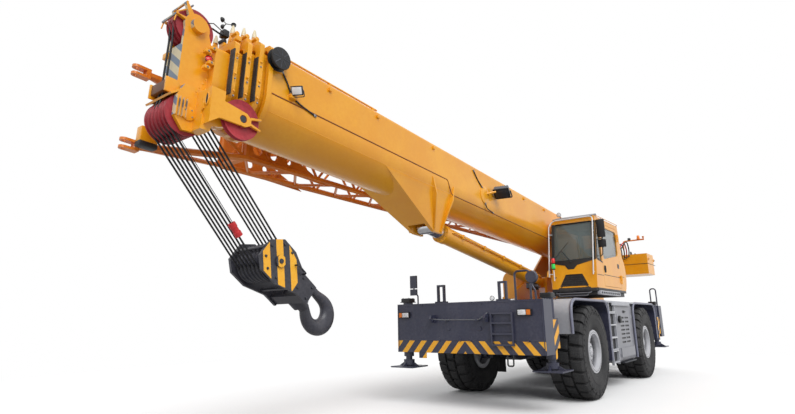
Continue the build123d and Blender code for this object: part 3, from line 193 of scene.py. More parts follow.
def shader(name):
    material = bpy.data.materials.new(name)
    material.use_nodes = True
    tree = material.node_tree
    tree.nodes.clear()
    principled = tree.nodes.new("ShaderNodeBsdfPrincipled")
    output = tree.nodes.new("ShaderNodeOutputMaterial")
    tree.links.new(principled.outputs[0], output.inputs[0])
    return material, Wire(tree), principled


def feed(wire, principled, **sockets):
    for name, value in sockets.items():
        wire.feed(principled.inputs[name.replace("_", " ")], value)


def surface(wire, scale, detail=4, stretch=(1, 1, 1)):
    where = wire.node("TexCoord", None, None, 3)
    placed = wire.node("Mapping", None, {"Vector": where, "Scale": stretch})
    return wire.node("TexNoise", None, {"Vector": placed, "Scale": scale, "Detail": detail})


def place(wire):
    return wire.node("TexCoord", None, None, 3).parts()


# Paint of the crane: colour, its deeper tone, roughness, coat, and how much dust lies on it
def paintLook(colour, deep, rough, coat, dust):
    return {"colour": rgb(*colour), "deep": rgb(*deep), "rough": rough, "coat": coat, "dust": dust}


paintLooks = {
    "boomYellow": paintLook((238, 167, 18), (228, 152, 10), 0.33, 0.30, 0.06),
    "jibOrange": paintLook((226, 132, 30), (204, 108, 18), 0.40, 0.25, 0.12),
    "carrierSlate": paintLook((53, 56, 77), (44, 46, 66), 0.42, 0.20, 0.12),
    "lipSlate": paintLook((122, 124, 142), (106, 108, 126), 0.42, 0.20, 0.12),
    "deckGrey": paintLook((176, 178, 184), (158, 160, 167), 0.45, 0.15, 0.16),
    "tankGrey": paintLook((140, 141, 148), (124, 125, 132), 0.45, 0.15, 0.16),
    # dark grey for the rims' dish: painted shade inside the dish
    "dishShade": paintLook((72, 73, 77), (58, 59, 63), 0.45, 0.15, 0.18),
    "rimSilver": paintLook((198, 199, 203), (178, 179, 184), 0.36, 0.25, 0.16),
    "blockSlate": paintLook((54, 55, 66), (41, 41, 50), 0.45, 0.15, 0.12),
    "markYellow": paintLook((250, 188, 48), (238, 168, 32), 0.40, 0.20, 0.12),
    "stripCream": paintLook((228, 214, 178), (208, 194, 158), 0.42, 0.15, 0.12),
    "stripBlue": paintLook((128, 144, 162), (108, 124, 142), 0.42, 0.15, 0.12),
    # dark brown of the hood at the boom head: painted shade
    "headHoodShade": paintLook((112, 62, 26), (84, 44, 18), 0.50, 0.05, 0.12),
    # brown line along the boom's side seam: painted shade
    "seamShade": paintLook((150, 84, 22), (128, 68, 14), 0.50, 0.05, 0.05),
    "frameBlack": paintLook((33, 34, 38), (23, 23, 27), 0.50, 0.05, 0.14),
    "guardWhite": paintLook((230, 231, 232), (210, 211, 213), 0.35, 0.25, 0.08),
    "sheaveRed": paintLook((178, 34, 50), (138, 22, 36), 0.48, 0.05, 0.10),
}
dustColour = rgb(160, 154, 146)
dullDust = {"dust": 0.5, "fine": 0.12, "striped": 0.36, "coatRough": 0.12}  # what roughens the paint
orangePeel = {"scale": 160, "detail": 2, "Strength": 0.04, "Distance": 0.004}


def paintColour(wire, look):
    broad, fine = surface(wire, 1.3, 5), surface(wire, 24, 3)
    streak = surface(wire, 5, 3, (1, 1, 0.12))  # runs down the walls
    tone = (broad * 0.7 + fine * 0.3).band(0.35, 0.7)
    colour = tone.mix(look["deep"], look["colour"])
    up = wire.node("NewGeometry", None, None, 1).parts()[2]
    lying = (up.band(0.2, 1.0) * 0.6 + 0.4) * (broad * fine * streak * 8).band(0.5, 1.6) * look["dust"]
    return lying.clamp().mix(colour, dustColour), lying, fine


def dulled(lying, fine, rough):
    return lying * dullDust["dust"] + fine * dullDust["fine"] + rough


def paint(name, look):
    material, wire, principled = shader(name)
    colour, lying, fine = paintColour(wire, look)
    height = surface(wire, orangePeel["scale"], orangePeel["detail"])
    grain = wire.node("Bump", None, {"Strength": orangePeel["Strength"], "Distance": orangePeel["Distance"],
                                     "Height": height})
    feed(wire, principled, Base_Color=colour, Roughness=dulled(lying, fine, look["rough"] - 0.06),
         Coat_Weight=(1 - lying) * look["coat"], Normal=grain, Coat_Roughness=dullDust["coatRough"])
    return material


finishes = {name: paint(name, look) for name, look in paintLooks.items()}


def striped(name, base, mark, mask):  # two paints, parted by a mask of the place
    material, wire, principled = shader(name)
    first, lying, fine = paintColour(wire, paintLooks[base])
    second = paintColour(wire, paintLooks[mark])[0]
    feed(wire, principled, Base_Color=mask(wire).mix(first, second),
         Roughness=dulled(lying, fine, dullDust["striped"]))
    return material


stripeLook = {"top": 1.215, "lean": 0.86, "pitch": 0.285, "share": 0.44,
              "beamTop": 1.58, "beamLean": 0.9, "beamPitch": 0.30, "beamShare": 0.5,
              "headLean": 0.8, "headPitch": 0.19, "headShare": 0.45}


def frontMask(wire):  # slanted bars along the panel's foot, mirrored at the middle
    look, (x, y, z) = stripeLook, place(wire)
    slant = y.maths("ABSOLUTE", y) + (z - look["top"]) * look["lean"]
    return ((slant / look["pitch"]).fraction() < look["share"]) * (z < look["top"])


def beamMask(wire):  # slanted bars on the outer ends of the beams
    look, (x, y, z) = stripeLook, place(wire)
    slant = z + x * look["beamLean"]
    return ((slant / look["beamPitch"]).fraction() < look["beamShare"]) * (z < look["beamTop"])


def headMask(wire):
    look, (x, y, z) = stripeLook, place(wire)
    return ((z + y * look["headLean"]) / look["headPitch"]).fraction() < look["headShare"]


finishes["frontStripes"] = striped("frontStripes", "carrierSlate", "markYellow", frontMask)
finishes["beamStripes"] = striped("beamStripes", "carrierSlate", "markYellow", beamMask)
finishes["headStripes"] = striped("headStripes", "stripCream", "stripBlue", headMask)


def metal(name, colour, rough, scratch=0.08):
    material, wire, principled = shader(name)
    fine = surface(wire, 40, 4)
    lines = surface(wire, 9, 3, (1, 1, 14))  # drawn out along the height
    tone = (fine * 0.6 + lines * 0.4).band(0.3, 0.75)
    feed(wire, principled, Base_Color=tone.mix(darker(colour, 0.8), colour), Metallic=1.0,
         Roughness=fine * scratch + lines * scratch + rough)
    return material


def rubber(name, colour, rough):
    material, wire, principled = shader(name)
    broad, fine = surface(wire, 2.2, 5), surface(wire, 55, 4)
    dusty = (broad * fine * 4).band(0.55, 1.6) * 0.30
    grain = wire.node("Bump", None, {"Strength": 0.25, "Distance": 0.003, "Height": fine})
    feed(wire, principled, Base_Color=dusty.mix(colour, rgb(104, 103, 102)),
         Roughness=rough + fine * 0.14, Normal=grain)
    return material


def plastic(name, colour, rough, light=0.0):
    material, wire, principled = shader(name)
    broad = surface(wire, 6, 4)
    tint = broad.band(0.3, 0.7).mix(darker(colour, 0.82), colour)
    feed(wire, principled, Base_Color=tint, Roughness=broad * 0.12 + rough)
    if light:
        feed(wire, principled, Emission_Color=tint, Emission_Strength=light)
    return material


def tintedGlass(name, colour, alpha):
    material, wire, principled = shader(name)
    smear = surface(wire, 3.5, 5)
    feed(wire, principled, Base_Color=colour, Roughness=smear.band(0.45, 0.8) * 0.06 + 0.02,
         Alpha=smear.band(0.4, 0.8) * 0.08 + alpha, Coat_Weight=1.0, Coat_Roughness=0.02)
    return material


def wireRope(name, colour):
    material, wire, principled = shader(name)
    fine = surface(wire, 70, 3)
    feed(wire, principled, Base_Color=fine.band(0.3, 0.7).mix(darker(colour, 0.5), colour),
         Metallic=0.25, Roughness=fine * 0.2 + 0.45)
    return material


finishes.update({
    "chromeRod": metal("chromeRod", rgb(214, 216, 220), 0.10, 0.06),
    "plainSteel": metal("plainSteel", rgb(150, 152, 156), 0.32),
    "darkSteel": metal("darkSteel", rgb(82, 84, 90), 0.42),
    "tyreRubber": rubber("tyreRubber", rgb(34, 34, 36), 0.72),
    "hoseRubber": rubber("hoseRubber", rgb(26, 26, 28), 0.58),
    "blackPlastic": plastic("blackPlastic", rgb(26, 27, 30), 0.42),
    "greyPlastic": plastic("greyPlastic", rgb(98, 100, 106), 0.5),
    "lampClear": plastic("lampClear", rgb(232, 234, 236), 0.14),
    "lampAmber": plastic("lampAmber", rgb(240, 130, 20), 0.2),
    "lampRed": plastic("lampRed", rgb(208, 26, 28), 0.2, 0.15),
    "lampGreen": plastic("lampGreen", rgb(40, 200, 84), 0.2, 0.3),
    "weightRed": plastic("weightRed", rgb(196, 40, 44), 0.4),
    "seatCloth": rubber("seatCloth", rgb(40, 41, 46), 0.85),
    "cabGlass": tintedGlass("cabGlass", rgb(96, 112, 112), 0.50),
    "ropeBlack": wireRope("ropeBlack", rgb(30, 30, 33)),
})
print("finishes made:", len(finishes))

# Nodes with one finish; those with more are dressed beside their own piece
nodeFinish = {
    "boomYellow": ["hydraulic_tank", "counterweight", "boom_base", "boom_section_2", "boom_section_3",
                   "boom_section_4", "lift_barrel"],
    "jibOrange": ["lattice_jib"],
    "carrierSlate": ["carrier_frame", "deck_rails", "engine_hood", "axles", "tie_eyes", "winches"]
                    + ["outrigger_jack_" + corner for corner in corners],
    "frameBlack": ["cab_floor", "engine_block"],
    "blackPlastic": ["control_console", "carrier_lamps"],
    "seatCloth": ["operator_seat"],
    "cabGlass": ["cab_glass", "door_glass"],
    "sheaveRed": ["head_sheaves"],
    "chromeRod": ["lift_rod"],
    "blockSlate": ["hook"],
    "ropeBlack": ["rope_falls"],
    "tyreRubber": ["tyre_" + corner for corner in corners],
    "darkSteel": ["knuckle_" + corner for corner in corners],
}


def dress(node, *names):
    mesh = frame["nodes"][node].data
    mesh.materials.clear()
    for name in names:
        mesh.materials.append(finishes[name])
    for polygon in mesh.polygons:
        polygon.material_index = 0


def marked(node, wanted, index):  # one of the node's finishes on the faces that are wanted
    made = frame["nodes"][node]
    for polygon in made.data.polygons:
        centre = made.matrix_world @ polygon.center - Vector((slewX, 0, 0))
        if wanted(centre, (made.matrix_world.to_3x3() @ polygon.normal).normalized()):
            polygon.material_index = index


for name, nodes in nodeFinish.items():
    for node in nodes:
        dress(node, name)
print("nodes dressed")

# Mesh tools for the fitted pieces
meshLook = {"tubeSide": Vector((0.31, 0.17, 0.93)), "latheSide": Vector((0.31, 0.93, 0.17)), "sharp": 38}


def bevel(part, edges, size):
    bmesh.ops.bevel(part, geom=edges, offset=size, segments=2, profile=0.6, affect="EDGES")


def ringOf(part, middle, side, other, radius, count):
    return [part.verts.new(middle + (side * math.cos(a) + other * math.sin(a)) * radius) for a in turns(count)]


def skin(part, rings, count, closed):  # faces between the rings, and lids on both ends
    for low, high in list(zip(rings, rings[1:])) + ([(rings[-1], rings[0])] if closed else []):
        for k in range(count):
            loop = [low[k % len(low)], low[(k + 1) % len(low)], high[(k + 1) % len(high)], high[k % len(high)]]
            part.faces.new(list(dict.fromkeys(loop)))
    for ring in () if closed else (rings[0], rings[-1]):
        if len(ring) > 2:
            part.faces.new(ring)
    bmesh.ops.recalc_face_normals(part, faces=part.faces[:])


class Shape:
    def __init__(self, name):
        self.name, self.mesh, self.finishes = name, bmesh.new(), []

    def join(self, part, finish, turn=None):
        if finish not in self.finishes:
            self.finishes.append(finish)
        for face in part.faces:
            face.material_index, face.smooth = self.finishes.index(finish), True
        if turn:
            bmesh.ops.transform(part, matrix=turn, verts=part.verts)
        holder = bpy.data.meshes.new("holder")
        part.to_mesh(holder)
        part.free()
        self.mesh.from_mesh(holder)
        bpy.data.meshes.remove(holder)

    def box(self, low, high, finish, edge=0.006, turn=None):
        part = bmesh.new()
        bmesh.ops.create_cube(part, size=1)
        for vert in part.verts:
            vert.co = [min(a, b) + (c + 0.5) * abs(b - a) for a, b, c in zip(low, high, vert.co)]
        bevel(part, part.edges[:], min(edge, *[abs(b - a) * 0.45 for a, b in zip(low, high)]))
        self.join(part, finish, turn)

    def boxes(self, rows, at, turn=None):
        for low, high, finish, edge in rows:
            self.box(at(*low), at(*high), finish, edge, turn)

    def plate(self, outline, across, thickness, finish, edge=0.004):
        part = bmesh.new()  # the outline lies in one plane, and across is its normal
        face = part.faces.new([part.verts.new(point) for point in outline])
        moved = bmesh.ops.extrude_face_region(part, geom=[face])["geom"]
        verts = [g for g in moved if isinstance(g, bmesh.types.BMVert)]
        bmesh.ops.translate(part, vec=Vector(across).normalized() * thickness, verts=verts)
        bmesh.ops.recalc_face_normals(part, faces=part.faces[:])
        if edge:
            bevel(part, part.edges[:], edge)
        self.join(part, finish)

    def tube(self, points, radius, finish, sides=8, closed=False, turn=None):
        points = [Vector(p) for p in points]
        count, part, rings, side = len(points), bmesh.new(), [], None
        for index, point in enumerate(points):
            after = points[(index + 1) % count] if closed or index + 1 < count else point
            before = points[index - 1] if closed or index else point
            along = (after - before).normalized()
            if side is None:
                side = along.cross(meshLook["tubeSide"]).normalized()
            side = (side - along * side.dot(along)).normalized()
            rings.append(ringOf(part, point, side, along.cross(side), radius, sides))
        skin(part, rings, sides, closed)
        self.join(part, finish, turn)

    def rods(self, rows, at):  # bent or, with no bend, straight from point to point
        for points, bend, radius, finish, sides in rows:
            path = [at(*p) for p in points]
            self.tube(rounded(path, bend) if bend else path, radius, finish, sides)

    def lathe(self, profile, centre, axis, finish, sides=24, closed=False, turn=None):
        centre, axis = Vector(centre), Vector(axis).normalized()
        side = axis.cross(meshLook["latheSide"]).normalized()
        other, part, rings = axis.cross(side), bmesh.new(), []
        for along, radius in profile:
            middle = centre + axis * along
            rings.append(ringOf(part, middle, side, other, radius, sides) if radius
                         else [part.verts.new(middle)])
        skin(part, rings, sides, closed)
        self.join(part, finish, turn)

    def lathes(self, rows, at):
        for profile, place, axis, finish, sides in rows:
            self.lathe(profile, at(*place), axis, finish, sides)

    def bolt(self, place, axis, size, finish="plainSteel"):
        head = ((0, 1.25), (0.25, 1.25), (0.26, 1), (0.9, 1), (1.05, 0.8))
        self.lathe([(a * size, r * size) for a, r in head], place, axis, finish, 6)

    def boltRing(self, centre, across, up, ring, angles, axis, size, finish="plainSteel"):
        for a in angles:
            self.bolt(centre + (across * math.cos(a) + up * math.sin(a)) * ring, axis, size, finish)

    def done(self, body):
        mesh = bpy.data.meshes.new(self.name)
        self.mesh.to_mesh(mesh)
        self.mesh.free()
        mesh.set_sharp_from_angle(angle=math.radians(meshLook["sharp"]))
        for finish in self.finishes:
            mesh.materials.append(finishes[finish])
        made = bpy.data.objects.new(self.name, mesh)
        bpy.context.scene.collection.objects.link(made)
        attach(made, body)
        return made


def rounded(points, radius, steps=5, closed=False):
    points = [Vector(p) for p in points]
    count, path = len(points), []
    for index, point in enumerate(points):
        if not closed and index in (0, count - 1):
            path.append(point)
            continue
        before, after = points[index - 1], points[(index + 1) % count]
        reach = min(radius, (before - point).length * 0.48, (after - point).length * 0.48)
        start, end = (point + (other - point).normalized() * reach for other in (before, after))
        for step in range(steps + 1):
            t = step / steps
            path.append(start.lerp(point, t).lerp(point.lerp(end, t), t))
    return path


# Wheels
tyreLook = {
    "radius": 0.93, "base": 0.875, "lugs": 23, "gap": 0.062, "rib": 0.084, "skew": 0.16, "edge": 0.007,
    "root": 0.04, "flare": 0.008, "around": 92,
    "shoulder": [(0.128, 0.93), (0.23, 0.925), (0.317, 0.914), (0.341, 0.885), (0.363, 0.80)],
    "wall": [(0.288, 0.36), (0.299, 0.424), (0.318, 0.436), (0.322, 0.452), (0.340, 0.470), (0.347, 0.495),
             (0.352, 0.497), (0.354, 0.508), (0.358, 0.520), (0.369, 0.575), (0.3745, 0.628), (0.3745, 0.640),
             (0.378, 0.642), (0.378, 0.652), (0.3735, 0.655), (0.371, 0.720), (0.364, 0.776), (0.366, 0.780),
             (0.362, 0.800), (0.352, 0.803), (0.322, 0.846), (0.285, 0.869), (0.14, 0.875)],
    "bars": 46, "bar": ((-0.012, 0.352, 0.725), (0.012, 0.374, 0.792)), "barEdge": 0.004,
}


def treadBlock(rows, spread, skew, look):  # rows of (y, radius) across the tyre, spread is half its angle
    part = bmesh.new()

    def corner(y, radius, angle):
        return part.verts.new((radius * math.sin(angle), y, radius * math.cos(angle)))

    steps, root = (-1, -0.33, 0.33, 1), look["base"] - look["root"]
    top = [[corner(y, radius, spread * k + skew * y) for k in steps] for y, radius in rows]
    low = [[corner(y, root, (spread + look["flare"]) * k + skew * y) for k in steps] for y, radius in rows]
    for first, second in zip(top, top[1:]):
        for k in range(3):
            part.faces.new((first[k], first[k + 1], second[k + 1], second[k]))
    rim, foot = ([*grid[0], *[row[-1] for row in grid[1:-1]],
                  *grid[-1][::-1], *[row[0] for row in grid[-2:0:-1]]] for grid in (top, low))
    for k in range(len(rim)):
        after = (k + 1) % len(rim)
        part.faces.new((rim[k], foot[k], foot[after], rim[after]))
    part.faces.new(foot)
    for row in low[1:-1]:
        bmesh.ops.delete(part, geom=row[1:-1], context="VERTS")
    bmesh.ops.recalc_face_normals(part, faces=part.faces[:])
    bevel(part, [e for e in part.edges if e.calc_face_angle(0) > 0.5
                 and min(math.hypot(v.co.x, v.co.z) for v in e.verts) > look["base"]], look["edge"])
    return part


def wheelAt(corner):
    low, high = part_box("tyre_" + corner)
    centre = (low + high) / 2
    return centre, Matrix.Translation(centre) @ Matrix.Rotation(0 if centre.y > 0 else math.pi, 4, "Z")


def makeTyre(corner, look):
    wheel = wheelAt(corner)[1]
    shape = Shape("tyre_" + corner + "_tread")
    outline = [(-a, r) for a, r in look["wall"]] + [(a, r) for a, r in look["wall"][::-1]]
    shape.lathe(outline, (0, 0, 0), leftward, "tyreRubber", look["around"], True, wheel)
    pitch = 2 * math.pi / look["lugs"]
    spread = (pitch - look["gap"] / look["radius"]) / 2
    rib = [(y, look["radius"]) for y in (-look["rib"], 0, look["rib"])]
    for turn in turns(look["lugs"], math.pi):
        for side in bothSides:
            block = treadBlock([(side * y, r) for y, r in look["shoulder"]], spread, side * look["skew"], look)
            shape.join(block, "tyreRubber", wheel @ Matrix.Rotation(turn, 4, "Y"))
        block = treadBlock(rib, spread, look["skew"], look)
        shape.join(block, "tyreRubber", wheel @ Matrix.Rotation(turn + pitch / 2, 4, "Y"))
    for side in bothSides:  # raised bars of the sidewall
        low, high = ((x, side * y, z) for x, y, z in look["bar"])
        for turn in turns(look["bars"]):
            shape.box(low, high, "tyreRubber", look["barEdge"], wheel @ Matrix.Rotation(turn, 4, "Y"))
    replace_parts(shape.done("wheel_" + corner), "tyre_" + corner)


rimLook = {
    "dishDepth": 0.225, "dish": (0.19, 0.36),
    "nuts": (20, 0.0, 0.2175, 0.060), "capBolts": (12, math.pi / 12, 0.098, 0.250),  # count, first, ring, seat
    "nut": [(0, 0.016), (0.006, 0.016), (0.007, 0.0125), (0.028, 0.0125), (0.030, 0.008), (0.042, 0.008),
            (0.044, 0.005)],
    "capBolt": [(0, 0.013), (0.004, 0.013), (0.005, 0.009), (0.012, 0.009), (0.014, 0.007)],
    "cap": [(0.250, 0.078), (0.258, 0.076), (0.261, 0.066), (0.261, 0.026), (0.267, 0.024), (0.268, 0)],
    # lock ring, the barrel's bead and the gap inside the lock ring: radius, place, thickness
    "rings": [(0.418, 0.318, 0.010, "rimSilver"), (0.335, 0.172, 0.007, "rimSilver"),
              (0.385, 0.327, 0.006, "darkSteel")],
    "valve": [(0.322, 0.172, 0.06), (0.318, 0.215, 0.06), (0.300, 0.250, 0.057)],
}


def makeHub(corner, look):
    centre, wheel = wheelAt(corner)
    hub, (inner, outer) = centre - Vector((slewX, 0, 0)), look["dish"]
    # the dish faces inside the rim take the darker grey as painted shade
    dress("rim_" + corner, "rimSilver", "dishShade")
    marked("rim_" + corner, lambda c, n: abs(c.y - hub.y) < look["dishDepth"]
           and inner < math.hypot(c.x - hub.x, c.z - hub.z) < outer, 1)
    shape = Shape("rim_" + corner + "_fittings")
    for profile, (count, first, ring, seat) in ((look["nut"], look["nuts"]),
                                                (look["capBolt"], look["capBolts"])):
        for a in turns(count, first):
            foot = (ring * math.cos(a), seat, ring * math.sin(a))
            shape.lathe(profile, foot, leftward, "plainSteel", 6, False, wheel)
    shape.lathe(look["cap"], (0, 0, 0), leftward, "rimSilver", 32, False, wheel)
    for ring, seat, size, finish in look["rings"]:
        circle = [(ring * math.cos(a), seat, ring * math.sin(a)) for a in turns(64)]
        shape.tube(circle, size, finish, 8, True, wheel)
    shape.tube(rounded(look["valve"], 0.02), 0.007, "plainSteel", 8, False, wheel)
    shape.done("wheel_" + corner)


for corner in corners:
    makeTyre(corner, tyreLook)
    makeHub(corner, rimLook)
print("wheels made")

# Parts that several pieces share, in shares of their own size
floodLook = {
    "shell": [((-0.7, -1, -0.75), (0, 1, 0.75), "greyPlastic", 0.16),
              ((-0.05, -1.06, -0.82), (0.08, 1.06, 0.82), "blackPlastic", 0.05)],
    "lens": ((0.05, -0.86, -0.62), (0.13, 0.86, 0.62)),
    "fins": [((-0.92, y - 0.05, -0.6), (-0.66, y + 0.05, 0.6), "greyPlastic", 0.02)
             for y in (-0.75, -0.45, -0.15, 0.15, 0.45, 0.75)],
    "yoke": [(-0.35, -1.12, 0), (-0.35, -1.12, -1.1), (-0.35, 1.12, -1.1), (-0.35, 1.12, 0)],
}
lampLook = {
    "bowl": [(-1.3, 0.2), (-1.15, 0.55), (-0.6, 0.9), (-0.1, 1.0), (0, 1.08), (0.12, 1.08), (0.14, 0.96),
             (0.08, 0.92)],
    "lens": [(0.08, 0.92), (0.2, 0.7), (0.26, 0.35), (0.28, 0)],
}


def asIs(x, y, z):
    return Vector((x, y, z))


def floodlight(shape, place, aim, size, lens="lampClear", look=floodLook):
    aimed = Vector(aim).to_track_quat("X", "Z").to_matrix().to_4x4()
    turn = Matrix.Translation(place) @ aimed @ Matrix.Scale(size, 4)
    shape.boxes([*look["shell"], (*look["lens"], lens, 0.04), *look["fins"]], asIs, turn)
    shape.tube(rounded(look["yoke"], 0.2), 0.08, "darkSteel", 8, False, turn)


def roundLamp(shape, place, aim, radius, lens, shell="blackPlastic", look=lampLook):
    for part, finish in (("bowl", shell), ("lens", lens)):
        shape.lathe([(a * radius, r * radius) for a, r in look[part]], place, aim, finish)


def pipe(shape, points, radius, finish="darkSteel", bend=0.15):  # a stiff line with a nut at both ends
    path = rounded(points, bend, 6)
    shape.tube(path, radius, finish)
    nut = [(-0.01, radius * 1.1), (0, radius * 1.5), (radius * 3, radius * 1.5), (radius * 3.4, radius * 1.1)]
    for end, after in ((path[0], path[1]), (path[-1], path[-2])):
        shape.lathe(nut, end, after - end, "plainSteel", 6)


# Front and rear panels of the carrier
panelLook = {
    "faces": {1: 4.94, -1: -4.88}, "painted": (4.9, -4.85),
    "lampDepth": 0.045, "lampLow": 1.668, "lampHigh": 1.757, "ribPitch": 0.022,
    "cells": {1: [(1.106, 1.252, "lampClear"), (1.264, 1.336, "lampAmber")],
              -1: [(-1.486, -1.418, "lampAmber"), (-1.406, -1.254, "lampClear")]},
    "lampFrame": {1: (1.092, 1.348), -1: (-1.498, -1.242)}, "frameGap": 0.008,
    # stowed rod between the two eyes, step loop, lamp stalk
    "rods": [([(5.045, -0.615, 1.62), (5.03, -0.40, 1.606), (5.02, 0.36, 1.598), (5.03, 0.44, 1.65),
               (4.955, 0.50, 1.72)], 0.05, 0.012, "greyPlastic", 10),
             ([(4.92, 0.835, 1.0), (4.93, 0.835, 0.80), (4.93, 0.945, 0.80), (4.92, 0.945, 1.0)],
              0.03, 0.014, "blackPlastic", 10),
             ([(4.90, 0.60, 1.92), (4.91, 0.60, 1.95)], 0, 0.012, "blackPlastic", 8)],
    "rests": [((4.94, y - 0.02, 1.575), (5.035, y + 0.02, 1.625), "carrierSlate", 0.006)
              for y in (-0.35, 0.30)]
             + [((4.91, -1.05, 0.885), (4.934, -0.88, 1.0), "frontStripes", 0.005)],
    "lamp": (4.93, 0.60, 1.975), "lampSize": 0.042,
    "bolts": [(4.94, y, 1.885) for y in (-1.30, -0.95, 0.20, 0.38, 1.42)],
    "strips": (1.905, 1.232), "stripEnd": 1.545, "seam": 1.535, "seamEnds": (1.0, 1.92),
    "padBolts": [(x + shift, 1.50, 1.93) for x in (4.30, 4.66, -4.26, -4.62) for shift in (-0.12, 0, 0.12)],
}
dress("outrigger_boxes", "carrierSlate", "frontStripes")
marked("outrigger_boxes", lambda c, n: abs(n.x) > 0.9
       and (c.x > panelLook["painted"][0] or c.x < panelLook["painted"][1]), 1)


def makeLamp(shape, look, way, side):
    face = look["faces"][way] + way * look["lampDepth"]
    low, high, gap = look["lampLow"], look["lampHigh"], look["frameGap"]
    for start, end, lens in look["cells"][side]:
        lens = "lampRed" if way < 0 and lens == "lampClear" else lens
        shape.box(spot(face - way * 0.004, start, low), spot(face + way * 0.010, end, high), lens)
        count = max(2, int((end - start) / look["ribPitch"]))
        # ribbed lens
        for y in [start + 0.012 + k * (end - start - 0.024) / (count - 1) for k in range(count)]:
            shape.box(spot(face + way * 0.008, y - 0.003, low + 0.010),
                      spot(face + way * 0.013, y + 0.003, high - 0.010), lens, 0.002)
    left, right = look["lampFrame"][side]
    outline = [(left, low - gap), (right, low - gap), (right, high + gap), (left, high + gap)]
    path = rounded([spot(face, y, z) for y, z in outline], 0.02, 4, True)
    shape.tube(path, 0.007, "blackPlastic", 8, True)


def makePanels(look):
    shape = Shape("panel_fittings")
    for way, face in look["faces"].items():
        for side in bothSides:
            makeLamp(shape, look, way, side)
            ends = [spot(face + way * 0.002, side * look["seam"], z) for z in look["seamEnds"]]
            shape.tube(ends, 0.008, "carrierSlate")
        for z in look["strips"]:  # welded edge strips
            shape.box(spot(face - way * 0.004, -look["stripEnd"], z - 0.007),
                      spot(face + way * 0.006, look["stripEnd"], z + 0.007), "carrierSlate", 0.003)
    shape.rods(look["rods"], spot)
    shape.boxes(look["rests"], spot)
    roundLamp(shape, spot(*look["lamp"]), (1, 0, 0.1), look["lampSize"], "lampClear")
    for place in look["bolts"]:
        shape.bolt(spot(*place), (1, 0, 0), 0.011, "carrierSlate")
    for side in bothSides:  # bolts of the wear pads over the sliding beams
        for place in look["padBolts"]:
            shape.bolt(spotOn(side)(*place), upward, 0.012)
    shape.done("carrier")


makePanels(panelLook)
print("panels made")

# Outrigger ends
beamLook = {"end": 1.5, "cover": 0.105, "top": 1.97, "thick": 0.085, "flange": 0.117,
            "ring": 0.10, "ringRise": 0.105, "floatBolts": 0.15, "floatTop": 0.026}


def makeBeamEnd(corner, look):
    beam, jack = "outrigger_beam_" + corner, "outrigger_jack_" + corner
    low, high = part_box(jack)
    middle = ((low + high) / 2).to_2d()
    dress(beam, "carrierSlate", "beamStripes")
    marked(beam, lambda c, n: abs(n.y) > 0.9 and abs(c.y) > look["end"], 1)

    def at(x, y, z):
        return Vector((middle.x + x, middle.y + y, z))

    top, half, flange, ring = look["top"], look["cover"], look["flange"], look["ring"]
    shape = Shape(beam + "_cover")
    shape.boxes([((-half, -half, top), (half, half, top + look["thick"]), "blackPlastic", 0.018),
                 ((-flange, -flange, top - 0.002), (flange, flange, top + 0.016), "frameBlack", 0.005)], at)
    for x in bothSides:
        for y in bothSides:
            shape.bolt(at(x * half * 0.7, y * half * 0.7, top + look["thick"] - 0.001), upward, 0.010)
    shape.done("beam_" + corner)
    foot = Shape(jack + "_ring")
    collar = [(0, ring * 0.7), (0, ring), (0.02, ring * 1.06), (0.04, ring), (0.04, ring * 0.7)]
    foot.lathe(collar, at(0, 0, low.z + look["ringRise"]), upward, "markYellow", 28, True)
    foot.boltRing(at(0, 0, low.z + look["floatTop"]), forward, leftward, look["floatBolts"],
                  turns(4, math.pi / 4), upward, 0.013, "darkSteel")
    foot.done("jack_" + corner)


for corner in corners:
    makeBeamEnd(corner, beamLook)
print("outrigger ends made")

# Decks, arches and side panels
deckLook = {
    "lip": 0.030, "bend": 0.32, "wheels": (2.5, -2.12), "hub": 0.93,
    "arches": [[(3.745, 1.612, 1.315), (3.745, 1.612, 1.955), (1.315, 1.612, 1.955), (1.315, 1.612, 0.675)],
               [(-0.935, 1.612, 0.605), (-0.935, 1.612, 1.955),
                (-3.515, 1.612, 1.955), (-3.515, 1.612, 0.985)]],
    # edge of the deck, dark wall behind the ladder as painted shade, latch plate, foot step
    "boxes": [((-0.60, 1.60, 1.868), (0.985, 1.628, 1.962), "deckGrey", 0.008),
              ((0.79, 1.552, 0.60), (1.21, 1.566, 1.90), "frameBlack", 0.004),
              ((-0.22, 1.578, 1.70), (-0.06, 1.592, 1.76), "blackPlastic", 0.008),
              ((-0.72, 1.50, 0.545), (0.40, 1.635, 0.575), "darkSteel", 0.008)],
    # white rungs over the ladder's own: painted highlight
    "rungHighlights": [((0.80, 1.575, z - 0.004), (1.20, 1.632, z + 0.010), "guardWhite", 0.004)
              for z in (0.85, 1.14, 1.43, 1.72)],
    "stepBars": [((-0.66 + k * 0.125, 1.51, 0.573), (-0.61 + k * 0.125, 1.63, 0.581), "darkSteel", 0.003)
                 for k in range(9)],
    "treadBars": [((x - 0.09, y - 0.012, 1.968), (x + 0.09, y + 0.012, 1.976), "deckGrey", 0.003)
                  for x in (0.2, -0.5, 1.1, 2.0, 3.0, -1.6, -2.6) for y in (0.78, 0.98, 1.18, 1.38)],
    "hinges": [([(x, 1.586, z - 0.05), (x, 1.586, z + 0.05)], 0, 0.012, "deckGrey", 10)
               for x in (-0.80, 0.52) for z in (0.82, 1.62)],
    "latch": [([(-0.21, 1.59, 1.73), (-0.19, 1.625, 1.73), (-0.09, 1.625, 1.73), (-0.07, 1.59, 1.73)],
               0.015, 0.007, "blackPlastic", 8)],
    "filler": [(0, 0.075), (0.01, 0.085), (0.045, 0.085), (0.055, 0.07), (0.057, 0)],
    "fillerAt": (0.36, 1.579, 1.55),
}


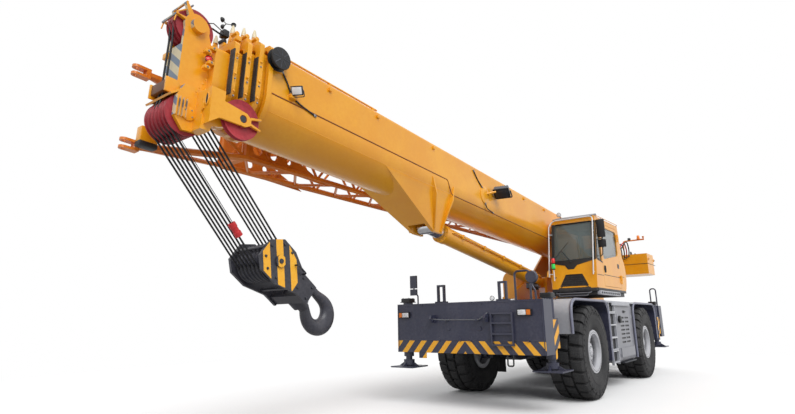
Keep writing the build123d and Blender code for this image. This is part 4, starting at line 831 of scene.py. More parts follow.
def facesWheel(centre, normal):
    for x in deckLook["wheels"]:
        toHub = Vector((x, centre.y, deckLook["hub"])) - centre
        if abs(toHub.x) < 1.5 and normal.dot(toHub) > 0.25:
            return True
    return normal.z < -0.5


def louvreShade(centre, normal):  # the recess of the side panels, painted black as its shade
    return 1.45 < abs(centre.y) < 1.5795 and 0.7 < centre.z < 1.85 and -0.85 < centre.x < 0.57


dress("fender_decks", "deckGrey", "carrierSlate", "hoseRubber")
marked("fender_decks", facesWheel, 1)
marked("fender_decks", lambda c, n: 1.1 < c.x < 1.45 and c.z < 0.655, 2)  # mud flap
dress("side_tanks", "tankGrey", "frameBlack")
# the recesses of the side panels take black as painted shade
marked("side_tanks", louvreShade, 1)
dress("access_ladders", "deckGrey", "carrierSlate")
marked("access_ladders", lambda c, n: c.x > 4, 1)  # the one on the front panel


def makeDecks(look):
    shape = Shape("deck_fittings")
    for side in bothSides:
        at = spotOn(side)
        for arch in look["arches"]:
            shape.tube(rounded([at(*p) for p in arch], look["bend"], 8), look["lip"], "lipSlate", 10)
        for rows in ("boxes", "rungHighlights", "stepBars", "treadBars"):
            shape.boxes(look[rows], at)
        shape.rods(look["hinges"] + look["latch"], at)
        shape.lathe(look["filler"], at(*look["fillerAt"]), leftward * side, "blackPlastic", 28)
    shape.done("carrier")


makeDecks(deckLook)
print("decks made")

# Cab
cabLook = {"foot": 2.19, "front": 1.80, "slope": 0.30 / 1.73, "grilleDepth": 0.009}
cabAhead = Vector((1, 0, cabLook["slope"])).normalized()
# which way each wall looks into the cab: axis and sign
cabLining = {"cab_inner_wall": (1, 1), "cab_outer_frame": (1, -1), "cab_rear": (0, 1), "cab_roof": (2, -1),
             "cab_door": (1, -1)}


def cabFace(y, z, out=0.0):  # on the leaning front, or that far before it
    return spot(cabLook["front"] - cabLook["slope"] * (z - cabLook["foot"]) + out, y, z)


def inGrille(centre, normal):
    front = cabFace(0, centre.z, -cabLook["grilleDepth"]).x - slewX
    return 2.2 < centre.z < 2.7 and 0.7 < centre.y < 1.45 and centre.x < front


dress("turntable_frame", "boomYellow", "frameBlack")
marked("turntable_frame", lambda c, n: c.y > 0.55 and c.z < 2.2, 1)  # the beam under the cab
for node, (axis, way) in cabLining.items():
    dress(node, "boomYellow", "greyPlastic")
    marked(node, lambda c, n: n[axis] * way > 0.5, 1)
dress("cab_front", "boomYellow", "frameBlack", "greyPlastic")
marked("cab_front", inGrille, 1)
marked("cab_front", lambda c, n: n.x < -0.5, 2)

cabFrontLook = {
    # on the leaning front: outline (y, z), how far out, thickness, finish
    "plates": [([(0.564, 2.845), (0.867, 2.785), (0.937, 2.692), (1.077, 2.692), (1.147, 2.78), (1.576, 2.885),
                 (1.576, 2.93), (1.30, 2.905), (1.0, 2.895), (0.564, 2.915)], -0.001, 0.008, "blackPlastic"),
               ([(0.70, 2.245), (1.45, 2.245), (1.36, 2.30), (1.33, 2.30), (1.40, 2.262), (0.75, 2.262),
                 (0.82, 2.30), (0.79, 2.30)], -0.002, 0.010, "frameBlack"),
               ([(0.70, 2.22), (1.45, 2.22), (1.435, 2.27), (0.715, 2.27)], -0.001, 0.006, "frameBlack")]
              + [([(a, 2.88), (b, 2.88), (b, 3.80), (a, 3.80)], -0.001, 0.006, "blackPlastic")
                 for a, b in ((0.563, 0.626), (1.512, 1.577))],
    "cornerPost": [(1.579, 2.90, -0.006), (1.579, 3.80, -0.006), (1.579, 3.80, -0.075), (1.579, 2.90, -0.10)],
    "sideBand": [(1.60, 1.579, 2.885), (1.655, 1.579, 2.90), (1.52, 1.579, 2.925), (1.20, 1.579, 2.86),
                 (1.20, 1.579, 2.83)],
    "gasket": [(0.626, 2.895, 0.006), (1.512, 2.915, 0.006), (1.512, 3.79, 0.006), (0.626, 3.79, 0.006)],
    "grille": [((0.77 + k * 0.022, 2.30 + k * 0.05, -0.012), (1.37 - k * 0.022, 2.314 + k * 0.05, 0.002),
                "blackPlastic", 0.004) for k in range(6)],
    # skirts, step box with its pads, slats over the windscreen, mirrors
    "boxes": [((1.70, 0.565, 2.175), (1.822, 1.575, 2.248), "frameBlack", 0.015),
              ((-0.60, 1.56, 2.19), (1.75, 1.592, 2.25), "frameBlack", 0.012),
              ((0.10, 1.545, 2.095), (1.72, 1.625, 2.188), "deckGrey", 0.012)]
             + [((0.2 + k * 0.17, 1.622, 2.12), (0.31 + k * 0.17, 1.630, 2.165), "darkSteel", 0.006)
                for k in range(9)]
             + [((1.50 - k * 0.062, 0.60, 3.912 + k * 0.016), (1.54 - k * 0.062, 1.54, 3.926 + k * 0.016),
                 "deckGrey", 0.005) for k in range(6)]
             + [((1.395, 1.580, low), (1.435, 1.762, high), "blackPlastic", 0.016)
                for low, high in ((3.40, 3.82), (3.17, 3.35))]
             + [((1.388, 1.594, low), (1.397, 1.750, high), "chromeRod", 0.004)
                for low, high in ((3.414, 3.806), (3.184, 3.336))],
    "bearer": [(1.545, 3.90), (1.545, 3.914), (1.18, 4.004), (1.15, 3.99), (1.15, 3.915)],
    "bearers": (0.62, 1.07, 1.52),
    # step bars under the front, lamp stalk, mirror arm and bar
    "rods": [([(1.76, a, 2.18), (1.84, a, z), (1.84, b, z), (1.76, b, 2.18)], 0.05, 0.014, "greyPlastic", 10)
             for a, b, z in ((0.66, 1.44, 2.140), (0.72, 1.38, 2.085))]
            + [([(1.40, 0.76, 3.90), (1.42, 0.76, 4.02), (1.46, 0.76, 4.03)], 0.03, 0.010, "blackPlastic", 8),
               ([(1.56, 1.575, 3.34), (1.52, 1.66, 3.36), (1.40, 1.685, 3.36)], 0.04, 0.012, "blackPlastic", 8),
               ([(1.40, 1.685, 3.16), (1.40, 1.685, 3.84)], 0, 0.010, "blackPlastic", 8)],
    # wiper arm and blade, ties of the hoop, on the leaning front
    "faceRods": [([(1.00, 2.86, 0.012), (0.99, 2.90, 0.030), (0.80, 3.15, 0.030)], 0, 0.009, "blackPlastic", 8),
                 ([(0.66, 2.99, 0.016), (0.80, 3.15, 0.020), (0.95, 3.32, 0.016)], 0, 0.007, "hoseRubber", 8)]
                + [([(y, z, 0.07), (inner, z, -0.004)], 0, 0.011, "guardWhite", 8) for y, inner, z in (
                    (0.52, 0.58, 2.60), (0.52, 0.58, 3.55), (1.527, 1.527, 2.60), (1.552, 1.552, 3.55))],
    "hoop": [(0.52, 2.53, 0.07), (0.52, 3.76, 0.07), (0.62, 3.885, 0.06), (1.555, 3.895, 0.06),
             (1.525, 2.54, 0.07)],
    "wiperPivot": (1.00, 2.86, 0.006), "lamp": (1.50, 0.76, 4.03),
    "tower": (0.655, 2.44, 0.10), "towerFoot": (0.66, 2.52, -0.004),
    "towerLamps": {0.265: "lampGreen", 0.395: "lampRed"},
}


def makeTower(shape, look):  # red over green signal
    foot = cabFace(*look["tower"])
    shape.tube([foot, foot + upward * 0.26], 0.014, "guardWhite", 12)
    stay = [foot + upward * 0.02, foot + upward * 0.06, cabFace(*look["towerFoot"])]
    shape.tube(rounded(stay, 0.03), 0.010, "blackPlastic")
    lens = [(0, 0.030), (0.012, 0.036), (0.014, 0.042), (0.10, 0.042), (0.112, 0.036), (0.125, 0.030)]
    band = [(-0.008, 0.034), (0.006, 0.044), (0.012, 0.044), (0.014, 0.034)]
    for rise, finish in look["towerLamps"].items():
        shape.lathe(lens, foot + upward * rise, upward, finish, 20)
        shape.lathe(band, foot + upward * rise, upward, "blackPlastic", 20)
    lid = [(0, 0.036), (0.012, 0.034), (0.02, 0.02), (0.022, 0)]
    shape.lathe(lid, foot + upward * 0.52, upward, "blackPlastic", 20)


def makeCabFront(look):
    shape = Shape("cab_front_fittings")
    for outline, out, thickness, finish in look["plates"]:
        shape.plate([cabFace(y, z, out) for y, z in outline], cabAhead, thickness, finish, 0.002)
    shape.plate([cabFace(*p) for p in look["cornerPost"]], leftward, 0.006, "blackPlastic", 0.002)
    shape.plate([spot(*p) for p in look["sideBand"]], leftward, 0.005, "blackPlastic", 0.0015)
    gasket = rounded([cabFace(*p) for p in look["gasket"]], 0.05, 5, True)
    shape.tube(gasket, 0.010, "hoseRubber", 8, True)
    shape.boxes(look["grille"], cabFace)
    shape.boxes(look["boxes"], spot)
    shape.rods(look["rods"], spot)
    shape.rods(look["faceRods"], cabFace)
    shape.tube(rounded([cabFace(*p) for p in look["hoop"]], 0.10, 6), 0.015, "guardWhite", 10)
    pivot = [(0, 0.022), (0.02, 0.022), (0.026, 0.014), (0.028, 0)]
    shape.lathe(pivot, cabFace(*look["wiperPivot"]), cabAhead, "blackPlastic", 16)
    for y in look["bearers"]:
        shape.plate([spot(x, y, z) for x, z in look["bearer"]], leftward, 0.012, "greyPlastic", 0.003)
    roundLamp(shape, spot(*look["lamp"]), (1, 0, -0.15), 0.050, "lampClear", "greyPlastic")
    makeTower(shape, look)
    shape.done("turntable")


cabShellLook = {
    # seams, ribs of the roof, cooler with its slats, ribs of the rear wall
    "boxes": [((1.20, 1.578, 2.538), (1.70, 1.583, 2.550), "frameBlack", 0.001),
              ((-0.60, 1.578, 2.59), (-0.30, 1.583, 2.602), "frameBlack", 0.001),
              ((-0.36, 0.80, 3.918), (-0.02, 1.30, 4.00), "greyPlastic", 0.03)]
             + [((x - 0.12, 0.66, 3.916), (x + 0.12, 1.48, 3.932), "boomYellow", 0.008)
                for x in (-0.2, 0.35, 0.9)]
             + [((-0.34 + k * 0.052, 0.83, 3.998), (-0.315 + k * 0.052, 1.27, 4.006), "blackPlastic", 0.003)
                for k in range(6)]
             + [((-0.83, 0.64, z), (-0.66, 1.50, z + 0.025), "boomYellow", 0.006)
                for z in (2.30, 2.75, 3.05)],
    # grab handle, roof rail, seals of the rear window, roof edges
    "rods": [([(1.30, 1.58, 2.98), (1.29, 1.63, 3.02), (1.22, 1.63, 3.50), (1.22, 1.58, 3.54)],
              0.04, 0.012, "blackPlastic", 8),
             ([(1.42, 1.56, 3.90), (1.42, 1.60, 3.915), (-0.36, 1.60, 3.925), (-0.40, 1.56, 3.90)],
              0.03, 0.009, "boomYellow", 8)]
            + [([(-0.585, y, 3.16), (-0.43, y, 3.77)], 0, 0.008, "hoseRubber", 8) for y in (0.70, 1.44)]
            + [([(1.30, y, 3.86), (-0.40, y, 3.86)], 0, 0.012, "boomYellow", 8) for y in (0.57, 1.57)],
}


def makeCabShell(look):
    shape = Shape("cab_shell_fittings")
    shape.boxes(look["boxes"], spot)
    shape.rods(look["rods"], spot)
    shape.done("turntable")


cabInsideLook = {"arm": (0.16, 0.33, 0.56), "screen": ((0.02, -0.13, 0.02), (0.06, 0.13, 0.20)),
                 "knob": [(0, 0.016), (0.02, 0.024), (0.07, 0.022), (0.10, 0.028), (0.125, 0.016), (0.13, 0)]}


def makeCabInside(look):
    shape = Shape("cab_inside_fittings")
    low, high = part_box("operator_seat")
    ahead, apart, rise = look["arm"]
    for side in bothSides:  # arm rests with levers
        base = Vector(((low.x + high.x) / 2 + ahead, (low.y + high.y) / 2 + side * apart, low.z + rise))

        def at(x, y, z):
            return base + Vector((x, side * y, z))

        shape.box(at(-0.20, -0.045, -0.03), at(0.20, 0.045, 0.03), "blackPlastic", 0.02)
        shape.tube([at(0.12, 0, 0.02), at(0.14, 0, 0.16)], 0.010, "darkSteel")
        shape.lathe(look["knob"], at(0.14, 0, 0.13), (0.1, 0, 1), "blackPlastic", 14)
        shape.tube([at(-0.1, 0, -0.03), at(-0.16, -0.132, -0.21)], 0.018, "darkSteel")
    low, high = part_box("control_console")
    top = Vector((low.x, (low.y + high.y) / 2, high.z))
    shape.box(*(top + Vector(p) for p in look["screen"]), "blackPlastic", 0.012)
    shape.tube([top + Vector((0.045, 0, z)) for z in (-0.02, 0.05)], 0.014, "darkSteel")
    shape.done("turntable")


doorLook = {
    # seam, handle, vent with its slats, hinge leaves
    "boxes": [((-0.26, 1.578, 2.56), (1.15, 1.583, 2.572), "frameBlack", 0.001),
              ((1.035, 1.588, 2.62), (1.065, 1.604, 2.78), "blackPlastic", 0.007),
              ((-0.19, 1.579, 2.79), (-0.05, 1.586, 2.90), "greyPlastic", 0.003)]
             + [((-0.18, 1.584, 2.80 + k * 0.019), (-0.06, 1.590, 2.808 + k * 0.019), "greyPlastic", 0.002)
                for k in range(5)]
             + [((-0.28, 1.579, z - 0.06), (-0.18, 1.590, z + 0.06), "boomYellow", 0.004)
                for z in (2.48, 3.55)],
    "pins": [([(-0.285, 1.592, z - 0.07), (-0.285, 1.592, z + 0.07)], 0, 0.016, "boomYellow", 12)
             for z in (2.48, 3.55)],
    "cup": [(0, 0.085), (0.006, 0.085), (0.010, 0.075), (0.011, 0)], "cupAt": (1.05, 1.58, 2.70),
}


def makeDoor(look):
    shape = Shape("cab_door_fittings")
    shape.boxes(look["boxes"], spot)
    shape.rods(look["pins"], spot)
    shape.lathe(look["cup"], spot(*look["cupAt"]), leftward, "blackPlastic", 28)
    shape.done("door")


makeCabFront(cabFrontLook)
makeCabShell(cabShellLook)
makeCabInside(cabInsideLook)
makeDoor(doorLook)
print("cab made")

# Turntable, winches, counterweight
tableLook = {
    "drums": [(-2.52, 3.02), (-3.05, 3.15)], "drum": 0.19, "drumHalf": 0.355, "wraps": 30,
    "wrap": [(0, 0.004), (0.25, 0.018), (0.5, 0.022), (0.75, 0.018)], "drumBolts": 0.42,
    "lines": ("weightRed", "blackPlastic", "blackPlastic", "weightRed", "blackPlastic"),
    "bracket": ((-2.24, 0.545, 3.02), (-2.20, 1.20, 3.07)),
    "ring": 0.62, "ringTop": 2.10, "ringBolts": 36, "ringHidden": 0.54, "ringMiddle": 0.5,
    "pin": (-1.6, 0.545, 3.55), "keeper": [(0, 0.14), (0.016, 0.14), (0.020, 0.13), (0.022, 0)],
}


def makeTable(look):
    shape = Shape("turntable_fittings")
    half, drum, step = look["drumHalf"], look["drum"], 2 * look["drumHalf"] / look["wraps"]
    wound = [(-half + (k + a) * step, drum + r) for k in range(look["wraps"]) for a, r in look["wrap"]]
    wound = [(-0.36, drum - 0.01), *wound, (0.36, drum + 0.004), (0.36, drum - 0.01)]
    for x, z in look["drums"]:  # rope wound on both drums
        shape.lathe(wound, spot(x, 0, z), leftward, "ropeBlack", 40, True)
        for side in bothSides:
            shape.boltRing(spot(x, side * look["drumBolts"], z), forward, upward, 0.10, turns(10),
                           leftward * side, 0.011)
    for k, finish in enumerate(look["lines"]):  # stiff oil lines that arch behind the cab, held by a bracket
        y, x, rise = 0.80 + 0.07 * k, -1.96 - 0.035 * k, 0.03 * k
        pipe(shape, [spot(x, 0.55, 2.66 + rise), spot(x - 0.2, y, 3.2 + 0.05 * k),
                     spot(-2.6 - 0.06 * k, y + 0.15, 3.76 + rise), spot(-3.25, y + 0.1, 3.58),
                     spot(-3.552, y, 3.32 + rise)], 0.018, finish, 0.35)
    low, high = look["bracket"]
    shape.box(spot(*low), spot(*high), "boomYellow", 0.008)
    # bolts of the slewing ring, as far as the frame is clear
    for a in turns(look["ringBolts"], math.pi / look["ringBolts"]):
        if abs(look["ring"] * math.sin(a)) < look["ringHidden"]:
            shape.boltRing(spot(0, 0, look["ringTop"]), forward, leftward, look["ring"], [a], upward, 0.016,
                           "darkSteel")
    x, y, z = look["pin"]
    for side in bothSides:
        shape.bolt(spot(0, side * look["ringMiddle"], look["ringTop"]), upward, 0.016, "darkSteel")
        # keepers on the pin of the boom's foot
        shape.lathe(look["keeper"], spot(x, side * y, z), leftward * side, "boomYellow", 28)
        shape.boltRing(spot(x, side * (y + 0.02), z), forward, upward, 0.10, turns(6), leftward * side, 0.014)
    shape.done("turntable")


weightLook = {
    "seams": [((-3.556, -1.59, 3.185), (-3.544, 1.59, 3.197), "frameBlack", 0.002),
              ((-4.606, -1.59, 3.185), (-4.594, 1.59, 3.197), "frameBlack", 0.002)],
    "sideSeam": [((-4.605, 1.598, 3.185), (-3.545, 1.606, 3.197), "frameBlack", 0.002)],
    "bosses": [(-4.45, 1.60, 3.34), (-3.70, 1.60, 3.34)],
    "boss": [(0, 0.05), (0.01, 0.05), (0.014, 0.04), (0.015, 0)],
    "eyes": [([(x - 0.06, 1.1, 3.49), (x - 0.06, 1.1, 3.60), (x + 0.06, 1.1, 3.60), (x + 0.06, 1.1, 3.49)],
              0.05, 0.016, "darkSteel", 10) for x in (-4.35, -3.8)],
    "mast": [([(-3.62, 0.95, 3.49), (-3.62, 0.95, 3.93)], 0, 0.016, "jibOrange", 10),
             ([(-3.62, 0.95, 3.91), (-3.62, 1.0, 3.935), (-3.62, 1.50, 3.945), (-3.62, 1.56, 3.94)],
              0.03, 0.022, "jibOrange", 10)],
    # beacon, horn and end knob on the mast
    "onMast": [([(0, 0.05), (0.03, 0.05), (0.032, 0.042), (0.10, 0.040), (0.125, 0.028), (0.13, 0)],
                (-3.62, 1.40, 3.955), upward, "lampAmber", 20),
               ([(0, 0.045), (0.06, 0.045), (0.07, 0.03), (0.07, 0)], (-3.62, 1.13, 3.955), upward,
                "blackPlastic", 20),
               ([(0, 0.02), (0.05, 0.02), (0.06, 0.03), (0.09, 0.03), (0.10, 0)], (-3.62, 1.54, 3.95), upward,
                "jibOrange", 16)],
}


def makeWeight(look):
    shape = Shape("counterweight_fittings")
    for side in bothSides:
        at = spotOn(side)
        shape.boxes(look["sideSeam"], at)
        for x, y, z in look["bosses"]:
            shape.lathe(look["boss"], at(x, y, z), leftward * side, "boomYellow", 20)
            shape.bolt(at(x, y + 0.012, z), leftward * side, 0.018)
        shape.rods(look["eyes"], at)
    shape.boxes(look["seams"], spot)
    shape.rods(look["mast"], spot)
    shape.lathes(look["onMast"], spot)
    shape.done("turntable")


tankLook = {"caps": {0.35: "boomYellow", 0.80: "blackPlastic", 1.35: "blackPlastic"}, "gauge": (0.95, 1.02),
            "cap": [(0, 0.075), (0.02, 0.075), (0.025, 0.06), (0.07, 0.06), (0.08, 0.05), (0.082, 0)],
            "capBolts": 0.066}


def makeTank(look):
    shape = Shape("hydraulic_tank_fittings")
    low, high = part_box("hydraulic_tank")
    for x, finish in look["caps"].items():
        top = Vector((low.x + x, (low.y + high.y) / 2, high.z))
        shape.lathe(look["cap"], top - upward * 0.002, upward, finish)
        shape.boltRing(top + upward * 0.018, forward, leftward, look["capBolts"], turns(6), upward, 0.006)
    start, end = look["gauge"]
    shape.box((low.x + start, low.y - 0.006, low.z + 0.18), (low.x + end, low.y + 0.004, high.z - 0.14),
              "lampClear", 0.004)
    shape.done("turntable")


makeTable(tableLook)
makeWeight(weightLook)
makeTank(tankLook)
print("turntable made")

# Boom, in measures along it, to the left and off it
boomLook = {
    "half": 0.44, "seam": ((11.55, 0.0), (7.67, 0.0), (7.53, -0.24), (0.4, -0.25)),
    "fins": ((8.15, 7.80), (7.47, 7.60)), "finDrop": (-0.06, -0.90),
    "fin": [(0.425, -0.06), (0.452, -0.08), (0.452, -0.34), (0.255, -0.90), (0.215, -0.90)],
    "edge": (7.6, 11.55, -0.245, -0.238), "lugs": (2.1, 3.2, 4.4, 8.1, 9.6, 10.6),
    # reel plate, lamp bracket, guide rod's feet, rope rollers' cheeks
    "boxes": [((11.36, 0.436, 0.30), (11.62, 0.454, 0.50), "boomYellow", 0.01),
              ((11.20, 0.436, 0.04), (11.30, 0.49, 0.10), "boomYellow", 0.01)]
             + [((u - 0.02, 0.37, 0.52), (u + 0.02, 0.43, 0.56), "boomYellow", 0.006)
                for u in (11.5, 10.6, 9.7)]
             + [((u - 0.03, y, 0.535), (u + 0.03, y + 0.04, 0.62), "boomYellow", 0.006)
                for u in (0.6, 2.4, 4.2, 6.0, 7.8, 9.6, 11.2) for y in (-0.17, 0.13)],
    "rollers": [([(-0.13, 0.02), (-0.12, 0.026), (0.12, 0.026), (0.13, 0.02)], (u, 0, 0.595), leftward,
                 "darkSteel", 16) for u in (0.6, 2.4, 4.2, 6.0, 7.8, 9.6, 11.2)],
    # lamp arm, guide rod on the top, hoist rope
    "rods": [([(6.24, 0.44, 0.10), (6.08, 0.57, 0.16)], 0, 0.022, "boomYellow", 10),
             ([(11.60, 0.40, 0.565), (9.6, 0.40, 0.565)], 0, 0.014, "boomYellow", 10),
             ([(-0.2, 0.0, 0.632), (11.62, 0.0, 0.632)], 0, 0.011, "ropeBlack", 8)],
    "conduits": [([(6.30, -0.10), (6.24, -0.20), (5.97, -0.235)], 0.08),
                 ([(11.44, 0.34), (11.34, 0.22), (11.27, 0.09)], 0.05),
                 ([(11.26, 0.07), (11.10, 0.02), (10.85, -0.03)], 0.05)],
    "topConduit": [(6.40, 0.452, 0.18), (6.60, 0.452, 0.30), (6.75, 0.454, 0.44)],
    "lampFoot": (6.30, 0.44, 0.06), "sideLamp": (5.95, 0.64, 0.15), "frontLamp": (11.27, 0.55, 0.12),
    "reelAt": (11.545, 0.515, 0.42),
    "reel": [(-0.05, 0.135), (-0.04, 0.14), (-0.035, 0.14), (-0.03, 0.09), (0.03, 0.09), (0.035, 0.14),
             (0.04, 0.14), (0.05, 0.135), (0.055, 0.05), (0.06, 0)],
    "cable": [(-0.03, 0.086), (-0.02, 0.102), (0.02, 0.102), (0.03, 0.086)],
}


def makeBoom(look):
    shape = Shape("boom_base_fittings")
    half, (start, end, low, high) = look["half"], look["edge"]
    for side in bothSides:
        seam = [onBoom(u, side * (half + 0.001), w) for u, w in look["seam"]]
        # the seam's brown line is painted shade
        shape.tube(rounded(seam, 0.04), 0.009, "seamShade", 6)
        shape.box((start, side * half - 0.002, low), (end, side * half + 0.004, high), "boomYellow", 0.001,
                  boomTurn)
        for top, foot in look["fins"]:  # triangular fins behind the cylinder's bracket
            drop, depth = look["finDrop"]
            fin = [onBoom(top + (foot - top) * (w - drop) / (depth - drop), side * y, w)
                   for y, w in look["fin"]]
            shape.plate(fin, (fin[1] - fin[0]).cross(fin[3] - fin[1]), 0.03, "boomYellow", 0.006)
        for u in look["lugs"]:  # small lugs for the cable
            shape.box((u, side * half - 0.004, 0.42), (u + 0.05, side * half + 0.03, 0.47),
                      "boomYellow", 0.008, boomTurn)
    shape.boxes(look["boxes"], asIs, boomTurn)
    shape.rods(look["rods"], onBoom)
    shape.lathes(look["rollers"], onBoom)
    shape.lathe([(0, 0.17), (0.012, 0.17), (0.018, 0.155), (0.02, 0)], onBoom(*look["lampFoot"]), leftward,
                "boomYellow", 32)
    floodlight(shape, onBoom(*look["sideLamp"]), (0.62, 0.12, -0.80), 0.15, "darkSteel")
    floodlight(shape, onBoom(*look["frontLamp"]), (0.8, 0.5, -0.5), 0.07)
    for points, bend in look["conduits"]:
        pipe(shape, [onBoom(u, half + 0.012, w) for u, w in points], 0.010, "blackPlastic", bend)
    pipe(shape, [onBoom(*p) for p in look["topConduit"]], 0.010, "blackPlastic", 0.08)
    reel = onBoom(*look["reelAt"])  # cable reel with its spokes
    shape.lathe(look["reel"], reel, leftward, "blackPlastic", 36)
    shape.lathe(look["cable"], reel, leftward, "hoseRubber", 30)
    for a in turns(8):
        arm = boomAlong * math.cos(a) + boomOff * math.sin(a)
        shape.tube([reel + arm * 0.03 + leftward * 0.052, reel + arm * 0.125 + leftward * 0.046], 0.008,
                   "darkSteel", 6)
    shape.done("boom")


collarLook = {"section_2": {"u": 11.725, "y": 0.21, "top": 0.60, "side": 0.465},
              "section_3": {"u": 11.86, "y": 0.19, "top": 0.565, "side": 0.43},
              "section_4": {"u": 11.995, "y": 0.17, "top": 0.53, "side": 0.395}}
collarHorn = [(-0.06, -0.10), (0.05, -0.10), (0.02, 0.13), (-0.03, 0.13)]
collarGuides = {0.05: "darkSteel", 0.30: "boomYellow", -0.30: "boomYellow"}


def makeCollar(name, look):
    shape = Shape("boom_" + name + "_fittings")
    u, y, top, edge = look["u"], look["y"], look["top"], look["side"]
    for side in bothSides:
        horn = [onBoom(u + a, side * y, top + b) for a, b in collarHorn]
        shape.plate(horn, leftward, 0.03, "boomYellow", 0.006)
        shape.lathe([(0, 0.030), (0.04, 0.028), (0.11, 0.012), (0.12, 0)],
                    onBoom(u - 0.005, side * y + 0.015, top + 0.12), boomOff, "stripCream", 16)
        for w in (0.30, 0.05, -0.16):  # screws of the wear pads
            shape.bolt(onBoom(u + 0.03, side * edge, w), leftward * side, 0.014, "boomYellow")
            shape.bolt(onBoom(u + 0.03, side * edge, w - 0.06), leftward * side, 0.010)
        shape.box((u + 0.052, side * (edge - 0.09), -0.20), (u + 0.068, side * (edge - 0.012), 0.36),
                  "hoseRubber", 0.004, boomTurn)
    for across, finish in collarGuides.items():  # rope guides
        shape.box((u - 0.03, across - 0.05, top - 0.03), (u + 0.04, across + 0.05, top + 0.03),
                  "boomYellow", 0.008, boomTurn)
        shape.lathe([(-0.05, 0.022), (-0.045, 0.028), (0.045, 0.028), (0.05, 0.022)],
                    onBoom(u + 0.03, across, top + 0.05), leftward, finish, 14)
        for shift in (-0.03, 0.03):
            shape.bolt(onBoom(u, across + shift, top + 0.03), boomOff, 0.009)
    shape.done(name)


makeBoom(boomLook)
for name, look in collarLook.items():
    makeCollar(name, look)
print("boom made")

# Boom head
headLook = {
    "front": 12.45,
    # hoist rope down the front, gauge cable, rods that keep the rope on the upper sheaves
    "rods": [([(12.612, y, 0.50), (12.60, y, 0.30), (12.60, y, -0.25), (12.635, y, -0.50)],
              0, 0.011, "ropeBlack", 8) for y in (-0.035, 0.035)]
            + [([(12.40, 0.165, 0.58), (12.2, 0.12, 0.70), (12.0, 0.05, 0.70)], 0, 0.006, "hoseRubber", 6),
               ([(12.655, -0.14, 0.56), (12.655, 0.14, 0.56)], 0, 0.008, "plainSteel", 8),
               ([(12.48, -0.14, 0.765), (12.48, 0.14, 0.765)], 0, 0.010, "plainSteel", 8)]
            + [([(12.52, y, 0.70), (12.64, y, 0.60), (12.66, y, 0.48)], 0, 0.008, "boomYellow", 8)
               for y in (-0.13, 0.13)],
    # switch box with its dark lid and arm, hood over the rope with its cheeks (the hood's dark brown is painted
    # shade), stop, gauge base, brackets
    "boxes": [((12.38, -0.50, -0.74), (12.58, -0.39, -0.57), "boomYellow", 0.012),
              ((12.375, -0.505, -0.80), (12.585, -0.385, -0.735), "blackPlastic", 0.02),
              ((12.40, -0.42, -0.64), (12.46, -0.27, -0.59), "boomYellow", 0.01),
              ((12.53, -0.16, -0.33), (12.655, 0.17, -0.215), "headHoodShade", 0.012),
              ((12.52, -0.167, -0.36), (12.67, -0.143, -0.20), "boomYellow", 0.006),
              ((12.52, 0.153, -0.36), (12.67, 0.177, -0.20), "boomYellow", 0.006),
              ((12.50, -0.20, 0.16), (12.57, -0.10, 0.23), "boomYellow", 0.01),
              ((11.955, -0.03, 0.665), (12.03, 0.07, 0.755), "blackPlastic", 0.012)],
    "brackets": [(12.29, 0.05), (12.25, 0.12), (12.30, 0.24), (12.24, 0.30)],
    "openings": [(0.305, -0.50), (0.375, -0.455), (0.45, -0.41)],
    "openingShade": (0.024, 0.062), "openingRim": (0.028, 0.068),
    "pinCovers": [(12.40, 0.16, 0.53, 0.06), (12.43, 0.255, -0.56, 0.075)],  # the last is their size
    "gauge": [(12.30, 0.10, 0.42), (12.22, 0.08, 0.66), (12.0, 0.02, 0.68), (11.985, 0.02, 0.78)],
    "cup": [(-0.028, 0.004), (-0.024, 0.018), (-0.010, 0.028), (0.006, 0.031), (0.004, 0.027), (-0.008, 0.024)],
    "sheaveBolts": [(12.40, 0.111, 0.53), (12.43, 0.221, -0.56), (11.94, 0.485, -0.50)],
    "lamp": (12.27, 0.235, 0.17), "sidePin": (11.94, 0.504, -0.50),
}
dress("boom_head", "boomYellow", "headStripes")
marked("boom_head", lambda c, n: n.dot(boomAlong) > 0.8
       and (c + Vector((slewX, 0, 0)) - boomFoot).dot(boomAlong) > headLook["front"], 1)


def makeGauge(shape, look):  # three cup wind gauge on an arm
    arm = [onBoom(*p) for p in look["gauge"]]
    shape.tube(rounded(arm, 0.05), 0.011, "blackPlastic")
    hub = arm[-1] + boomOff * 0.08
    for a in turns(3, 0.4):
        spoke = boomAlong * math.cos(a) + leftward * math.sin(a)
        shape.tube([hub, hub + spoke * 0.085], 0.005, "blackPlastic", 6)
        shape.lathe(look["cup"], hub + spoke * 0.085, spoke.cross(boomOff), "blackPlastic", 14)


